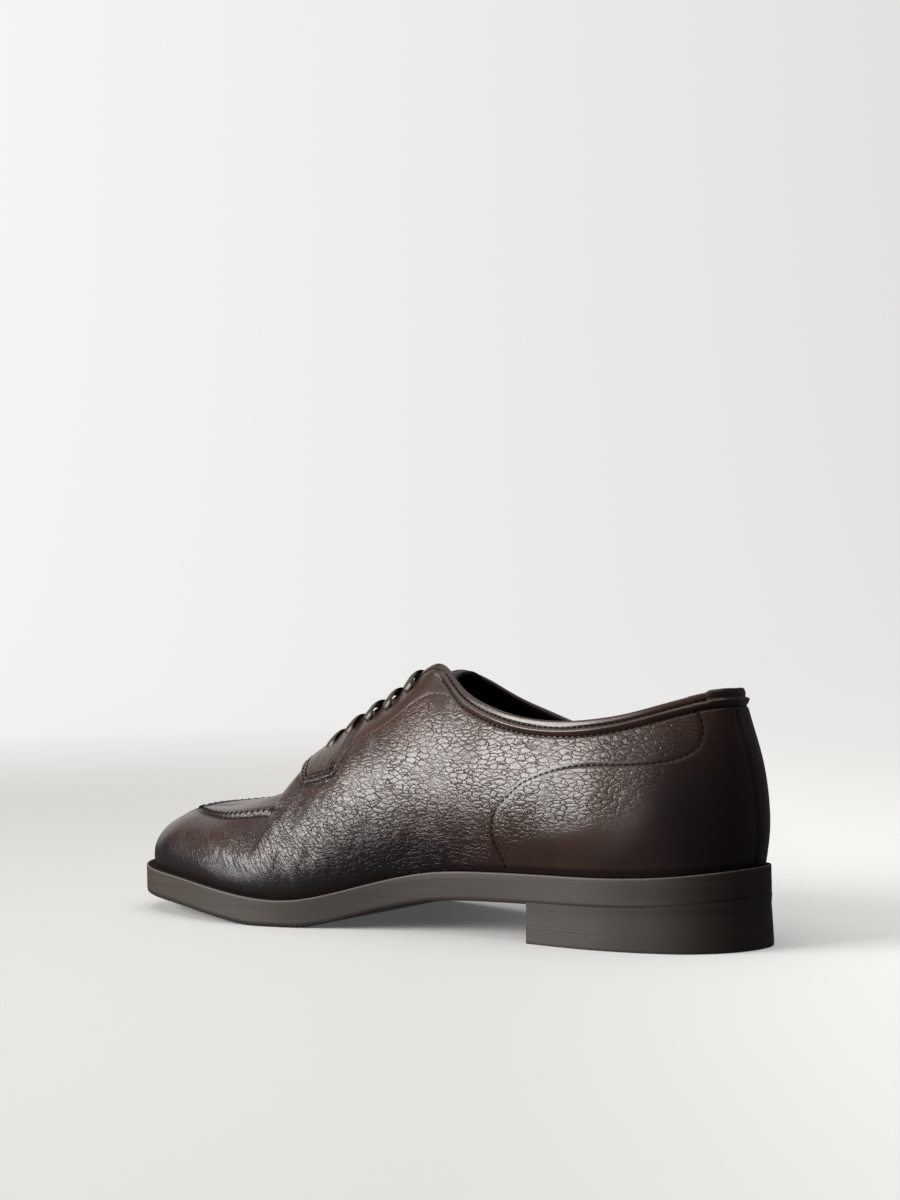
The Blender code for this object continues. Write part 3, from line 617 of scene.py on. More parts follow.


# Rubber: two colours in streaks, darker in grooves and painted shade, with painted shade between the ribs,
# lighter on the rim by a painted highlight
def makeRubber():
    material, tree, shader = newMaterial("soleRubber")
    place = objectPlace(tree)
    grooveAndShade = valueOf(tree, "grooveAndShade")
    streaks = noiseOf(tree, stretched(tree, place, rubber["streakStretch"]), 1.0, 3.0, 0.65)
    pores = noiseOf(tree, place, rubber["pores"])
    wave = maths(tree, "SINE", product(tree, valueOf(tree, "edgeWay"), 2 * math.pi / rubber["ribPitch"]))
    gap = product(tree, ramp(tree, wave, -0.3, 0.5), valueOf(tree, "ribbed"))
    colour = mixColour(tree, ramp(tree, streaks, 0.3, 0.7), rubber["colour"], rubber["dark"])
    # Painted highlight along the rim line
    colour = mixColour(tree, product(tree, valueOf(tree, "rim"), 0.8), colour, rubber["rim"])
    # Painted shade on the welt's top and at the waist, and the darker joint lines
    colour = mixColour(tree, grooveAndShade, colour, rubber["shade"])
    # Painted shade between the ribs
    colour = mixColour(tree, product(tree, gap, 0.7), colour, rubber["shade"])
    tree.links.new(colour, shader.inputs["Base Color"])
    rough = maths(tree, "MULTIPLY_ADD", streaks, 0.16, rubber["rough"] - 0.08)
    tree.links.new(maths(tree, "ADD", rough, grooveAndShade, clamp=True), shader.inputs["Roughness"])
    setInputs(shader, {"Specular IOR Level": rubber["specular"], "Coat Roughness": rubber["rough"]})
    gloss = maths(tree, "MULTIPLY_ADD", grooveAndShade, -rubber["coat"], rubber["coat"], clamp=True)
    tree.links.new(gloss, shader.inputs["Coat Weight"])
    height = product(tree, pores, rubber["poreHigh"])
    height = maths(tree, "MULTIPLY_ADD", streaks, rubber["streakHigh"], height)
    bumpOf(tree, shader, maths(tree, "MULTIPLY_ADD", gap, -rubber["ribDeep"], height))
    return material


leatherMaterial = makeLeather()
liningMaterial, insoleMaterial, threadMaterial, laceMaterial = [makePlain(name) for name in plainLooks]
rubberMaterial = makeRubber()
print("materials made")


# Upper: a grid of sections by levels, shifted along its normals by the sum of seams, steps and creases
upper = {
    "backRows": 205, "frontRows": 116, "levels": (50, 22, 26, 8, 26), "rimLevels": 7, "rimDepth": 0.0024,
    "seamStart": 0.672, "seamHalf": 0.0034, "ridgeTop": 0.00085, "ridgeMiddle": 0.0013, "ridgeSoft": 0.00105,
    "pucker": 0.00008, "puckerPitch": 0.0031, "foldWidth": 0.006, "stripHalf": 0.0022, "rimRound": 0.75,
}
# Strip of closer levels along the edge: run, metres below the free edge
closeRows = [
    (0.0, 0.009), (0.42, 0.009), (0.47, 0.017), (0.50, 0.019), (0.585, 0.019), (0.60, 0.030),
    (0.65, 0.026), (0.70, 0.014), (0.71, 0.006), (1.0, 0.006),
]

backRun = np.linspace(0, shoe["throatRun"], upper["backRows"] + 1)
frontRun = np.linspace(shoe["throatRun"], 1, upper["frontRows"] + 1)[1:]
runs = np.concatenate([backRun, frontRun])
lastRun = len(runs) - 1


# Levels up each section, closer together at the apron seam and at the strip's edge
def levelsOf(side):
    length = sheetLength(side, runs)
    seam = tableLines(runs, seamRows, columnOf(side))
    strip = tableLines(runs, closeRows, 1)
    knots = [np.zeros_like(length), seam - upper["seamHalf"] / length,
             seam + upper["seamHalf"] * 1.4 / length, 1 - (strip + upper["stripHalf"]) / length,
             1 - (strip - upper["stripHalf"]) / length, np.ones_like(length)]
    parts = []
    for first, last, count in zip(knots, knots[1:], upper["levels"]):
        share = np.linspace(0, 1, count + 1)[:-1]
        parts.append(first[:, None] + (last - first)[:, None] * share)
    return np.concatenate(parts + [knots[-1][:, None]], 1), length


levels, lengths, sheets = {}, {}, {}
for side in (1, -1):
    levels[side], lengths[side] = levelsOf(side)
    sheets[side] = upperSheet(side, runs, levels[side])[0]

loop = np.concatenate([sheets[1], sheets[-1][lastRun - 1:0:-1]])
rowCount, levelCount = loop.shape[:2]
twin = (-np.arange(rowCount)) % rowCount
front = np.arange(upper["backRows"], rowCount - upper["backRows"] + 1)
along = np.roll(loop, -1, axis=0) - np.roll(loop, 1, axis=0)
normals = unit(np.cross(along, np.gradient(loop, axis=1)))
# Turned outward by the sideways part of one normal on the medial wall, and one normal along the spine
normals *= np.sign(normals[60, 20, 1])
normals[front, -1] = unit(normals[front, -2] + normals[twin[front], -2])


# Dense points of a path given as run and share up the section, on a spline or on straight lines
def pathOn(path, count, straight=False):
    path = np.asarray(path, float)
    way = wayAlong(path * np.array([0.35, 0.09]))
    at = np.linspace(0, way[-1], count)
    curve = [np.interp(at, way, path[:, axis]) for axis in (0, 1)] if straight else spline(at, way, path).T
    return np.clip(curve, 0.0, 1.0)


# Path of run and share from rows of run and metres below the free edge
def belowEdge(side, rows):
    rows = np.asarray(rows, float)
    return np.stack([rows[:, 0], 1 - rows[:, 1] / sheetLength(side, rows[:, 0])], 1)


# Place and normal on one side's sheet, from places a small step away along and up
def sheetPlaces(side, run, share):
    def placeAt(runStep, shareStep):
        nearShare = np.clip(share + shareStep, 0, 1)
        return upperSheet(side, np.clip(run + runStep, 0, 1), nearShare[:, None])[0][:, 0]

    normal = np.cross(placeAt(0.0015, 0) - placeAt(-0.0015, 0), placeAt(0, 0.004) - placeAt(0, -0.004))
    return placeAt(0, 0), -unit(normal) * side


# Signed distance from each point to a path: positive on the side of normal cross direction
def distanceTo(points, line, normal, reach=0.012):
    flat = points.reshape(-1, 3)
    low, high = line.min(0) - reach, line.max(0) + reach
    near = np.flatnonzero(np.all((flat > low) & (flat < high), axis=1))
    distance = np.full(len(flat), 1.0)
    way = np.zeros(len(flat))
    tangent = unit(np.gradient(line, axis=0))
    across = np.cross(normal, tangent)
    travelled = wayAlong(line)
    for start in range(0, len(near), 8000):
        chunk = near[start:start + 8000]
        gap = flat[chunk][:, None] - line[None]
        square = (gap ** 2).sum(-1)
        best = square.argmin(1)
        offset = gap[np.arange(len(chunk)), best]
        sign = np.where((offset * across[best]).sum(-1) < 0, -1.0, 1.0)
        ahead = (offset * tangent[best]).sum(-1)
        plain = np.sqrt(square[np.arange(len(chunk)), best])
        sideways = np.sqrt(np.maximum(plain ** 2 - ahead ** 2, 0))
        inside = (best > 0) & (best < len(line) - 1)
        distance[chunk] = np.where(inside, sideways, plain) * sign
        way[chunk] = travelled[best] + np.where(inside, ahead, 0)
    return distance.reshape(points.shape[:-1]), way.reshape(points.shape[:-1])


# Signed distance and way along one side's path for every point of the loop
def fromPath(side, path, reach):
    line, normal = sheetPlaces(side, *path)
    return distanceTo(loop, line, normal, reach)


# Values per grid point of both sides joined as one loop of sections
def bothSides(medial, lateral):
    return np.concatenate([medial, lateral[lastRun - 1:0:-1]])


# The same from one value per section
def spread(medial, lateral):
    return bothSides(*(np.repeat(values[:, None], levelCount, 1) for values in (medial, lateral)))


runGrid = spread(runs, runs)
shareGrid = bothSides(levels[1], levels[-1])
lengthGrid = spread(lengths[1], lengths[-1])
sideGrid = spread(np.ones(len(runs)), -np.ones(len(runs)))
upWay = shareGrid * lengthGrid
below = (1 - shareGrid) * lengthGrid
height = np.zeros(loop.shape[:2])
seamShade = np.zeros_like(height)
calm = np.zeros_like(height)
isFront = np.repeat(np.isin(np.arange(rowCount), front)[:, None], levelCount, 1)


# Lifts and widths in metres of the steps that aren't bands, and of the hide's slow unevenness
relief = {
    "apronRise": 0.0004, "apronHollow": 0.0007, "backRidge": 0.0005, "backHalf": 0.0042, "facingGrow": 1.15,
    "counterRise": 0.00035, "counterReach": 0.012, "calmReach": 0.0016, "edgeRise": 0.0003,
    "hideLift": 0.00020, "hideLength": 0.034, "flexLift": 0.00014, "flexLength": 0.026,
    "fineLift": 0.00010, "fineLength": 0.011, "footReach": 0.012, "flexMiddle": 0.205, "flexHalf": 0.035,
}


# Adds bands along a line: distance from the line, softness, lift in metres, darkness of painted shade
def addBands(where, away, bands):
    for middle, soft, lift, dark in bands:
        band = where * bell(away - middle, soft)
        height[:] += lift * band
        seamShade[:] += dark * band


# Apron seam: a rounded ridge, a groove on the vamp's side, and a slightly hollow apron inside it, with
# painted shade in the grooves and on the ridge
seamBands = [
    (upper["ridgeMiddle"], upper["ridgeSoft"], upper["ridgeTop"], 0.0), (-0.0006, 0.0008, -0.0005, 0.0),
    (0.0036, 0.0011, -0.00028, 0.0), (-0.0004, 0.00055, 0.0, 0.85), (0.0031, 0.0005, 0.0, 0.6),
    (0.0007, 0.0014, 0.0, 0.55),
]
raisedShare = tableLines(runGrid, [(0.0, 0.0), (upper["seamStart"], 0.0), (0.70, 1.0), (1.0, 1.0)], 1)
seamRun = np.linspace(upper["seamStart"], 1.0, 260)
seamLine = {}
for side in (1, -1):
    seamShare = np.pad(tableLines(seamRun, seamRows, columnOf(side)), 12, mode="edge")
    seamLine[side] = (seamRun, np.convolve(seamShare, np.ones(25) / 25, "valid"))
toSeam = (shareGrid - spread(*(np.interp(runs, *seamLine[side]) for side in (1, -1)))) * lengthGrid
seamWay = np.zeros_like(height)
for side in (1, -1):
    distance, way = fromPath(side, seamLine[side], 0.006)
    seamWay = np.where((sideGrid == side) & (distance < 0.9), way, seamWay)
addBands(raisedShare, toSeam, seamBands)
height += raisedShare * relief["apronRise"] * softStep(toSeam - upper["ridgeMiddle"] + 0.0004, 0.0016)
pucker = np.cos(2 * np.pi * seamWay / upper["puckerPitch"])
height += raisedShare * upper["pucker"] * pucker * bell(toSeam + 0.0012, 0.0018)
height -= raisedShare * relief["apronHollow"] * softStep(toSeam - 0.007, 0.010) * isFront

# Fold along the apron's middle, where the sides' slopes meet: a soft peaked rise evens it out
spineShape = tableCurve(runs, sectionRows)
spineSlope = -(spineShape[:, 3] / spineShape[:, 2] + spineShape[:, 5] / spineShape[:, 4])
spineSlope *= shoe["instepRise"] / shoe["ballWidth"]
foldRise = spread(spineSlope, spineSlope) * upper["foldWidth"] / 2 * np.exp(-below / upper["foldWidth"])
height += foldRise * isFront * softStep(runGrid - 0.77, 0.06)

# Split seam down the toe's middle, and the back seam's ridge, with painted shade in their grooves
middleAway = np.abs(loop[..., 1])
splitShare = np.where(isFront, softStep(runGrid - 0.985, 0.01), 0) * softStep(-(toSeam + 0.001), 0.002)
addBands(splitShare, middleAway, [
    (0.0012, 0.0010, shoe["splitRidge"], 0.0), (0.0, 0.0005, -0.0006, 0.0), (0.0, 0.0004, 0.0, 0.8),
])
backShare = np.where(isFront, 0, softStep(0.03 - runGrid, 0.01)) * softStep(below - 0.004, 0.001)
height += backShare * relief["backRidge"] * softStep(relief["backHalf"] - middleAway, 0.0008)
addBands(backShare, middleAway, [(0.0046, 0.0005, -0.0003, 0.0), (0.0045, 0.0004, 0.0, 0.7)])

# Facing: step along the tab's lower edge with two pressed stitch rows and a painted shadow under the edge,
# then a pressed line along the strip
facingLine, stripLine, counterLine = {}, {}, {}
for side in (1, -1):
    mine = sideGrid == side
    facingLine[side] = pathOn(belowEdge(side, facingRows), 220, True)
    stripLine[side] = pathOn(belowEdge(side, stripRows), 220)
    counterLine[side] = pathOn(counterRows, 260)
    distance = fromPath(side, facingLine[side], 0.03)[0]
    above = distance * side
    inFacing = mine & (runGrid > 0.585) & (runGrid <= 0.7096) & (np.abs(distance) < 0.5) & (below < 0.034)
    fade = inFacing * softStep(runGrid - 0.5955, 0.003)
    height += relief["facingGrow"] * shoe["facingStep"] * softStep(above + 0.0003, 0.0006) * fade
    addBands(mine, above, [
        (-0.0008, 0.0007, 0.0, 0.95), (-0.0012, 0.0010, -0.0003, 0.0), (0.0016, 0.0005, -0.0002, 0.0),
        (0.0036, 0.0005, -0.0002, 0.0),
    ])
    addBands(mine, fromPath(side, stripLine[side], 0.01)[0], [(0.0, 0.0006, -0.00014, 0.0)])
    # Counter: a pressed line with painted shade in it, with the quarter a little higher behind it and its
    # grain calm at the line
    distance = fromPath(side, counterLine[side], 0.02)[0]
    addBands(mine, distance, [(0.0, 0.0007, -0.0004, 0.0), (0.0, 0.0006, 0.0, 0.95)])
    calm += mine * bell(distance, relief["calmReach"])
    behind = mine * softStep(-distance * side + 0.0006, 0.004)
    height += relief["counterRise"] * behind * bell(distance, relief["counterReach"])
    addBands(mine, fromPath(side, pathOn(flexRows, 120), 0.03)[0], [(0.0, 0.003, -0.0005, 0.0)])
print("seams laid")

# Collar: a rolled bead between two pressed stitch rows, with painted shade in the rows
collarShare = tableLines(runGrid, [(0.0, 1.0), (0.455, 1.0), (0.485, 0.0), (1.0, 0.0)], 1) * (1 - isFront)
addBands(collarShare, below, [
    (0.0038, 0.0011, 0.0011, 0.0), (0.0021, 0.0005, -0.0005, 0.95), (0.0057, 0.0006, -0.0005, 0.0),
    (0.0057, 0.0005, 0.0, 0.95),
])
edgeShare = np.where(isFront, 0, softStep(runGrid - 0.47, 0.02))
# Pressed stitch row along the edge, with painted shade in it
addBands(edgeShare, below, [(0.0024, 0.0005, -0.00035, 0.0), (0.0024, 0.0004, 0.0, 0.6)])
height += edgeShare * relief["edgeRise"] * softStep(0.014 - below, 0.008) * (runGrid < 0.59)

# Slow unevenness of the hide, stronger at the vamp's flex and quiet near the foot
footFade = softStep(upWay - 0.008, relief["footReach"])
onApron = softStep(toSeam + 0.001, 0.004) * isFront
flexZone = bell(loop[..., 0] - relief["flexMiddle"], relief["flexHalf"])
flexZone *= softStep(0.062 - loop[..., 2], 0.03) * footFade
flexZone *= 1 - 0.75 * onApron
hide = wander(loop, relief["hideLength"], 3)
height += relief["hideLift"] * hide * (1 - np.clip(seamShade, 0, 1)) * footFade
folds = wander(loop * np.array([2.2, 1.0, 0.7]), relief["flexLength"], 5)
fineFolds = wander(loop * np.array([2.4, 1.0, 0.8]), relief["fineLength"], 8)
height += flexZone * (relief["flexLift"] * folds + relief["fineLift"] * fineFolds)
# Place along the hide for the vamp's fine creases, which run down and back from the apron
creasePlace = np.stack([runGrid * 0.34 - 0.9 * upWay, upWay, sideGrid * 0.05], -1)

# Shading values: soft ellipses in the side view, each with the amount that it adds
# x and z of the middle, half length and half height in metres, grain, burnish with painted shade, wrinkle,
# polish
shadeRows = [
    (0.110, 0.075, 0.070, 0.034, 1.00, 0.00, 0.00, 0.00),
    (0.045, 0.085, 0.040, 0.022, 0.55, 0.00, 0.00, 0.00),
    (0.155, 0.050, 0.060, 0.030, 0.45, 0.00, 0.35, 0.00),
    (0.225, 0.035, 0.045, 0.024, 0.30, 0.14, 1.00, 0.10),
    # Painted shade on the low vamp by the foot line
    (0.218, 0.018, 0.040, 0.010, 0.00, 0.50, 0.00, 0.00),
    (0.016, 0.055, 0.026, 0.030, -0.35, 0.85, 0.00, 0.50),
    (0.055, 0.036, 0.045, 0.014, -0.40, 0.20, 0.00, 0.50),
    (0.072, 0.062, 0.042, 0.016, 0.60, 0.00, 0.00, -0.10),
    # Painted shade on the waist
    (0.155, 0.036, 0.055, 0.015, 0.20, 0.68, 0.00, 0.20),
    (0.288, 0.035, 0.020, 0.030, -0.20, 0.58, 0.00, 0.70),
]
grain = np.full(height.shape, 0.12)
burnishAndShade = np.zeros_like(height)
wrinkle = np.zeros_like(height)
polish = np.zeros_like(height)
for x, z, halfX, halfZ, *added in shadeRows:
    spot = np.exp(-(((loop[..., 0] - x) / halfX) ** 2 + ((loop[..., 2] - z) / halfZ) ** 2))
    for values, amount in zip((grain, burnishAndShade, wrinkle, polish), added):
        values += amount * spot
smoothBand = collarShare * softStep(0.0065 - below, 0.001)
facingBand = np.where(isFront, 0, softStep(runGrid - 0.44, 0.02) * softStep(0.017 - below, 0.002))
polish += 0.6 * smoothBand
burnishAndShade += 0.22 * facingBand
grain = np.clip(grain, 0.03, 1) * (1 - 0.8 * calm) * (1 - 0.8 * smoothBand) * (1 - 0.75 * facingBand)
# Painted shade along the foot line, less of it at the heel
burnishAndShade += 0.75 * softStep(0.011 - upWay, 0.015) * (0.25 + 0.75 * softStep(loop[..., 0] - 0.13, 0.05))
# Painted contact shadow just above the foot
seamShade += 0.95 * softStep(0.0028 - upWay, 0.0022)
wrinkle *= footFade * (1 - 0.6 * onApron)
burnishAndShade = np.clip(burnishAndShade, 0, 0.92)
seamShade = np.clip(seamShade, 0, 0.95)

outer = loop + normals * height[..., None]
inner = loop - normals * shoe["wall"]


# Places of a skin at shares up some of the loop's rows, by straight blending between levels
def atShares(skin, rows, shares):
    count = np.arange(levelCount)
    at = np.stack([np.interp(share, shareGrid[row], count) for row, share in zip(rows, shares)])
    low = np.floor(at).astype(int)
    part = (at - low)[..., None]
    row = rows[:, None]
    return skin[row, low] * (1 - part) + skin[row, np.minimum(low + 1, levelCount - 1)] * part


# Upper's mesh: outer skin, a rounded rim over the free edge and a strip of leather inside it
def makeUpper():
    number = numbersOf(loop)
    joined = front[front > rowCount // 2]
    number[joined, -1] = number[twin[joined], -1]
    order = np.arange(-upper["backRows"], upper["backRows"] + 1) % rowCount
    edgeOut = outer[order, -1]
    edgeIn = inner[order, -1]
    rise = unit(loop[order, -1] - loop[order, -3])
    half = (edgeOut - edgeIn) / 2
    rise *= upper["rimRound"] * np.linalg.norm(half, axis=1)[:, None]
    turn = np.linspace(0, np.pi, upper["rimLevels"] + 2)[None, 1:, None]
    rim = (edgeOut + edgeIn)[:, None] / 2 + half[:, None] * np.cos(turn) + rise[:, None] * np.sin(turn)
    depth = upper["rimDepth"] * np.array([0.3, 0.65, 1.0])
    strip = atShares(inner, order, 1 - depth / lengthGrid[order, :1])
    extra = np.concatenate([rim, strip], 1)
    rimNumber = np.concatenate([number[order, -1:], numbersOf(extra, rowCount * levelCount)], 1)
    quads = np.concatenate([gridQuads(number, True), gridQuads(rimNumber)])
    used = np.unique(quads)
    renumber = np.zeros(used[-1] + 1, int)
    renumber[used] = np.arange(len(used))

    # Grid values with a fill for the rim, for the points that are in use
    def inUse(values, fill):
        filled = np.full(extra.shape[:2] + values.shape[2:], fill)
        size = (-1,) + values.shape[2:]
        return np.concatenate([values.reshape(size), filled.reshape(size)])[used]

    points = np.concatenate([outer.reshape(-1, 3), extra.reshape(-1, 3)])
    made = meshObject("leatherUpper", points[used], renumber[quads], leatherMaterial)
    seamPlace = np.stack([seamWay, raisedShare * bell(toSeam + 0.0022, 0.0026), np.zeros_like(seamWay)], -1)
    for name, values, fill in (("grain", grain, 0.05), ("burnishAndShade", burnishAndShade, 0.6), ("wrinkle", wrinkle, 0.0),
                               ("polish", polish, 0.0), ("seamShade", seamShade, 0.0),
                               ("seamPlace", seamPlace, 0.0), ("creasePlace", creasePlace, 0.0)):
        addValue(made, name, inUse(values, fill))
    ridePiece(made, ["upper"])


makeUpper()


# Lining: the wall's inner face from below the rim's strip to the foot, on fewer sections
def makeLining():
    rows = np.arange(0, rowCount, 3)
    top = np.where(isFront[rows, 0], 1.0, 1 - (upper["rimDepth"] - 0.0008) / lengthGrid[rows, 0])
    grid = atShares(inner - normals * 0.0003, rows, top[:, None] * np.linspace(0.0, 1.0, 33))
    grid[:, 0, 2] = np.maximum(grid[:, 0, 2], weltTop(grid[:, 0, 0]) + shoe["play"])
    quads = gridQuads(numbersOf(grid), True)[:, ::-1]
    ridePiece(meshObject("innerLining", grid.reshape(-1, 3), quads, liningMaterial))

makeLining()
print("upper made")


# Place and normal on the finished outer skin at run and share of one side, by straight blending
def onUpper(side, run, share, lift=0.0):
    run = np.clip(np.asarray(run, float), 0, 1)
    at = np.interp(run, runs, np.arange(len(runs)))
    row = np.minimum(np.floor(at).astype(int), lastRun - 1)
    across = (at - row)[:, None]

    def inRow(rows):
        table = levels[side][rows]
        cell = np.clip((table <= share[:, None]).sum(1) - 1, 0, levelCount - 2)
        pick = np.arange(len(rows))
        part = (share - table[pick, cell]) / (table[pick, cell + 1] - table[pick, cell])
        part = np.clip(part, 0, 1)[:, None]
        loopRow = rows if side > 0 else (rowCount - rows) % rowCount
        return [skin[loopRow, cell] * (1 - part) + skin[loopRow, cell + 1] * part
                for skin in (outer, normals)]

    first, firstNormal = inRow(row)
    second, secondNormal = inRow(row + 1)
    normal = unit(firstNormal * (1 - across) + secondNormal * across)
    return first * (1 - across) + second * across + normal * lift, normal


# Path moved sideways on the sheet by an offset in metres, still as run and share
def movedPath(side, run, share, offset, runStep=0.002, shareStep=0.004):
    here, normal = sheetPlaces(side, run, share)
    across = np.cross(normal, unit(np.gradient(here, axis=0)))
    higher = np.clip(share + shareStep, 0, 1)
    ahead = upperSheet(side, np.clip(run + runStep, 0, 1), share[:, None])[0][:, 0]
    over = upperSheet(side, run, higher[:, None])[0][:, 0]
    alongShare = (over - here) / np.maximum(higher - share, 1e-6)[:, None]
    basis = np.stack([(ahead - here) / runStep, alongShare], -1)
    gram = np.einsum("nij,nik->njk", basis, basis) + np.eye(2) * 1e-12
    wanted = np.einsum("nij,ni->nj", basis, across * offset)
    shift = np.linalg.solve(gram, wanted[..., None])[..., 0]
    return np.clip(run + shift[:, 0], 0, 1), np.clip(share + shift[:, 1], 0, 1)


# Stitches: short capsules along a path at a pitch, a little longer than wide, sunk by their ends
stitch = {
    "long": 0.00205, "pitch": 0.0026, "thick": 0.00028, "sides": 6, "lift": 0.00006,
    "handLong": 0.0022, "handThick": 0.00024, "handSink": 0.00002, "handLean": 0.25,
    "rows": (0.0016, 0.0036), "rowStart": 0.6015, "rowEnd": 0.684,
}
# Stitch rows along the free edge: first run, last run, metres below the edge, points of the path
edgeStitchRows = [(0.012, 0.462, 0.0021, 500), (0.086, 0.462, 0.0056, 500), (0.47, 0.70, 0.0024, 300)]
# Capsule's rings: share of half the length, share of the thickness, sink in thicknesses
capsuleRows = np.array([
    (-1.0, 0.25, -1.2), (-0.8, 0.8, -0.35), (-0.35, 1.0, 0.25),
    (0.35, 1.0, 0.25), (0.8, 0.8, -0.35), (1.0, 0.25, -1.2),
])
stitchPoints, stitchQuads, stitchEnds, stitchTones = [], [], [], []


# Rings of an ellipse round the direction, at each row's share of the length, size and sink
def capsules(centre, tangent, normal, long, thick, tone=0.0):
    station, fat, sink = capsuleRows.T[..., None]
    turn = np.linspace(0, 2 * np.pi, stitch["sides"], endpoint=False)[:, None]
    across = np.cross(normal, tangent)
    middle = centre[:, None] + tangent[:, None] * station * long / 2 + normal[:, None] * sink * thick
    ring = across[:, None, None] * np.cos(turn) + normal[:, None, None] * np.sin(turn)
    points = middle[:, :, None] + ring * thick * fat[..., None]
    number = sum(map(len, stitchPoints)) + np.arange(points.size // 3).reshape(points.shape[:3])
    ahead = np.roll(number, -1, axis=2)
    quads = np.stack([number[:, :-1], ahead[:, :-1], ahead[:, 1:], number[:, 1:]], -1)
    stitchPoints.append(points.reshape(-1, 3))
    stitchTones.append(np.full(points.size // 3, tone))
    stitchQuads.append(quads.reshape(-1, 4))
    stitchEnds.extend(number[:, 0, ::-1].tolist() + number[:, -1].tolist())


# Middles, directions and normals of the stitches on a path, at even steps of a pitch or of its best fit
def stitchPlaces(side, run, share, pitch, lift=0.0, fitted=True):
    place, normal = onUpper(side, run, share, lift)
    way = wayAlong(place)
    count = int(way[-1] / pitch)
    at = (np.arange(count) + 0.5) * (way[-1] / count if fitted else pitch)
    centre, tangent, facing = [np.stack([np.interp(at, way, values[:, axis]) for axis in range(3)], -1)
                               for values in (place, np.gradient(place, way, axis=0), normal)]
    return centre, unit(tangent), unit(facing)


# Machine stitches of one path
def stitchAlong(side, run, share, tone=0.0):
    places = stitchPlaces(side, run, share, stitch["pitch"], stitch["lift"])
    capsules(*places, stitch["long"], stitch["thick"], tone)


for side in (1, -1):
    for offset in stitch["rows"]:
        run, share = movedPath(side, *facingLine[side], side * offset)
        keep = (run > stitch["rowStart"]) & (run < stitch["rowEnd"])
        stitchAlong(side, run[keep], share[keep])
    stitchAlong(side, *stripLine[side], tone=1.0)
    stitchAlong(side, *counterLine[side])
    for first, last, down, points in edgeStitchRows:
        run = np.linspace(first, last, points)
        stitchAlong(side, run, 1 - down / np.interp(run, runs, lengths[side]))
    # Hand stitches over the apron seam lie across it
    run, share = seamLine[side]
    share = (share + upper["ridgeMiddle"] / np.interp(run, runs, lengths[side]))[run > 0.70]
    centre, tangent, facing = stitchPlaces(side, run[run > 0.70], share, upper["puckerPitch"], fitted=False)
    across = unit(np.cross(facing, tangent) + stitch["handLean"] * tangent)
    capsules(centre - facing * stitch["handSink"], across, facing, stitch["handLong"], stitch["handThick"])

stitching = meshObject("stitching", np.concatenate(stitchPoints), np.concatenate(stitchQuads), threadMaterial,
                       stitchEnds)
addValue(stitching, "tone", np.concatenate(stitchTones))
ridePiece(stitching)
print("stitches made", len(stitchEnds) // 2)


# Small leather tab over the collar at the heel: half its run, depth outside and inside, lift
heelTab = {"run": 0.071, "depth": 0.0040, "inside": 0.006, "lift": 0.0005, "columns": 60, "rows": 9}


# Columns across the tab: up the outer skin, over the rim and down inside
def makeHeelTab():
    columns = []
    for value in np.linspace(-1, 1, heelTab["columns"]):
        side = 1 if value >= 0 else -1
        run = abs(value) * heelTab["run"]
        length = float(np.interp(run, runs, lengths[side]))
        down = np.linspace(heelTab["depth"], 0.0, heelTab["rows"])
        place, normal = onUpper(side, np.full(len(down), run), 1 - down / length)
        ending = min(1.0, (1 - abs(value)) * 12)
        lift = heelTab["lift"] * ending * np.minimum(np.arange(len(down)) * 0.8, 1)
        skin = place + normal * lift[:, None]
        down = np.linspace(0.0, heelTab["inside"], 4)
        inside, insideNormal = onUpper(side, np.full(4, run), 1 - down / length)
        inside = inside - insideNormal * (shoe["wall"] + 0.0016)
        turn = np.linspace(0, np.pi, 7)[1:-1, None]
        half = (skin[-1] - inside[0]) / 2
        rise = upward * (np.linalg.norm(half) * 0.66 + 0.6 * heelTab["lift"] * ending)
        over = (skin[-1] + inside[0]) / 2 + half * np.cos(turn) + rise * np.sin(turn)
        columns.append(np.concatenate([skin, over, inside]))
    grid = np.array(columns)
    made = meshObject("heelTab", grid.reshape(-1, 3), gridQuads(numbersOf(grid))[:, ::-1], leatherMaterial)
    count = grid.shape[0] * grid.shape[1]
    fills = {"grain": 0.05, "burnishAndShade": 0.35, "wrinkle": 0.0, "polish": 0.2, "seamShade": 0.0}
    for name, fill in fills.items():
        addValue(made, name, np.full(count, fill))
    addValue(made, "seamPlace", np.zeros((count, 3)))
    ridePiece(made)


makeHeelTab()


# Sole pieces: points round the outline, strips across, angle of a sharp edge, where the ribs start
sole = {"rows": 420, "heelRows": 200, "across": 9, "breastAcross": 8, "sharpAngle": 1.0, "ribStart": 0.185}


# Medial and lateral half of the outline at an inset, as far as a place along the sole
def rimLoop(inset, rows, last=None):
    rims = []
    for side in (1, -1):
        x, half = edgeLine(side, inset)
        turn = turnOf((x - x[0]) / (x[-1] - x[0]))
        end = np.pi if last is None else float(turnOf((last - x[0]) / (x[-1] - x[0])))
        at = np.linspace(0, end, rows + 1)
        rims.append(np.stack([np.interp(at, turn, x), side * np.interp(at, turn, half)], -1))
    return rims


# Grid of points from plan loops, one column for each row of a profile, each with its own height
def columnsOf(loops, profile):
    return np.stack([np.concatenate([flat, row[1](flat[:, :1])], 1) for flat, row in zip(loops, profile)], 1)


# Points on straight lines between two rows of points, without the ends
def pointsBetween(first, last, cells):
    share = np.linspace(0, 1, cells + 1)[None, 1:-1, None]
    return first[:, None] * (1 - share) + last[:, None] * share


# Value that each profile row has along the outline: a number, or a function of the place along the sole
def alongRim(value, x):
    return value(x) if callable(value) else np.full_like(x, value)
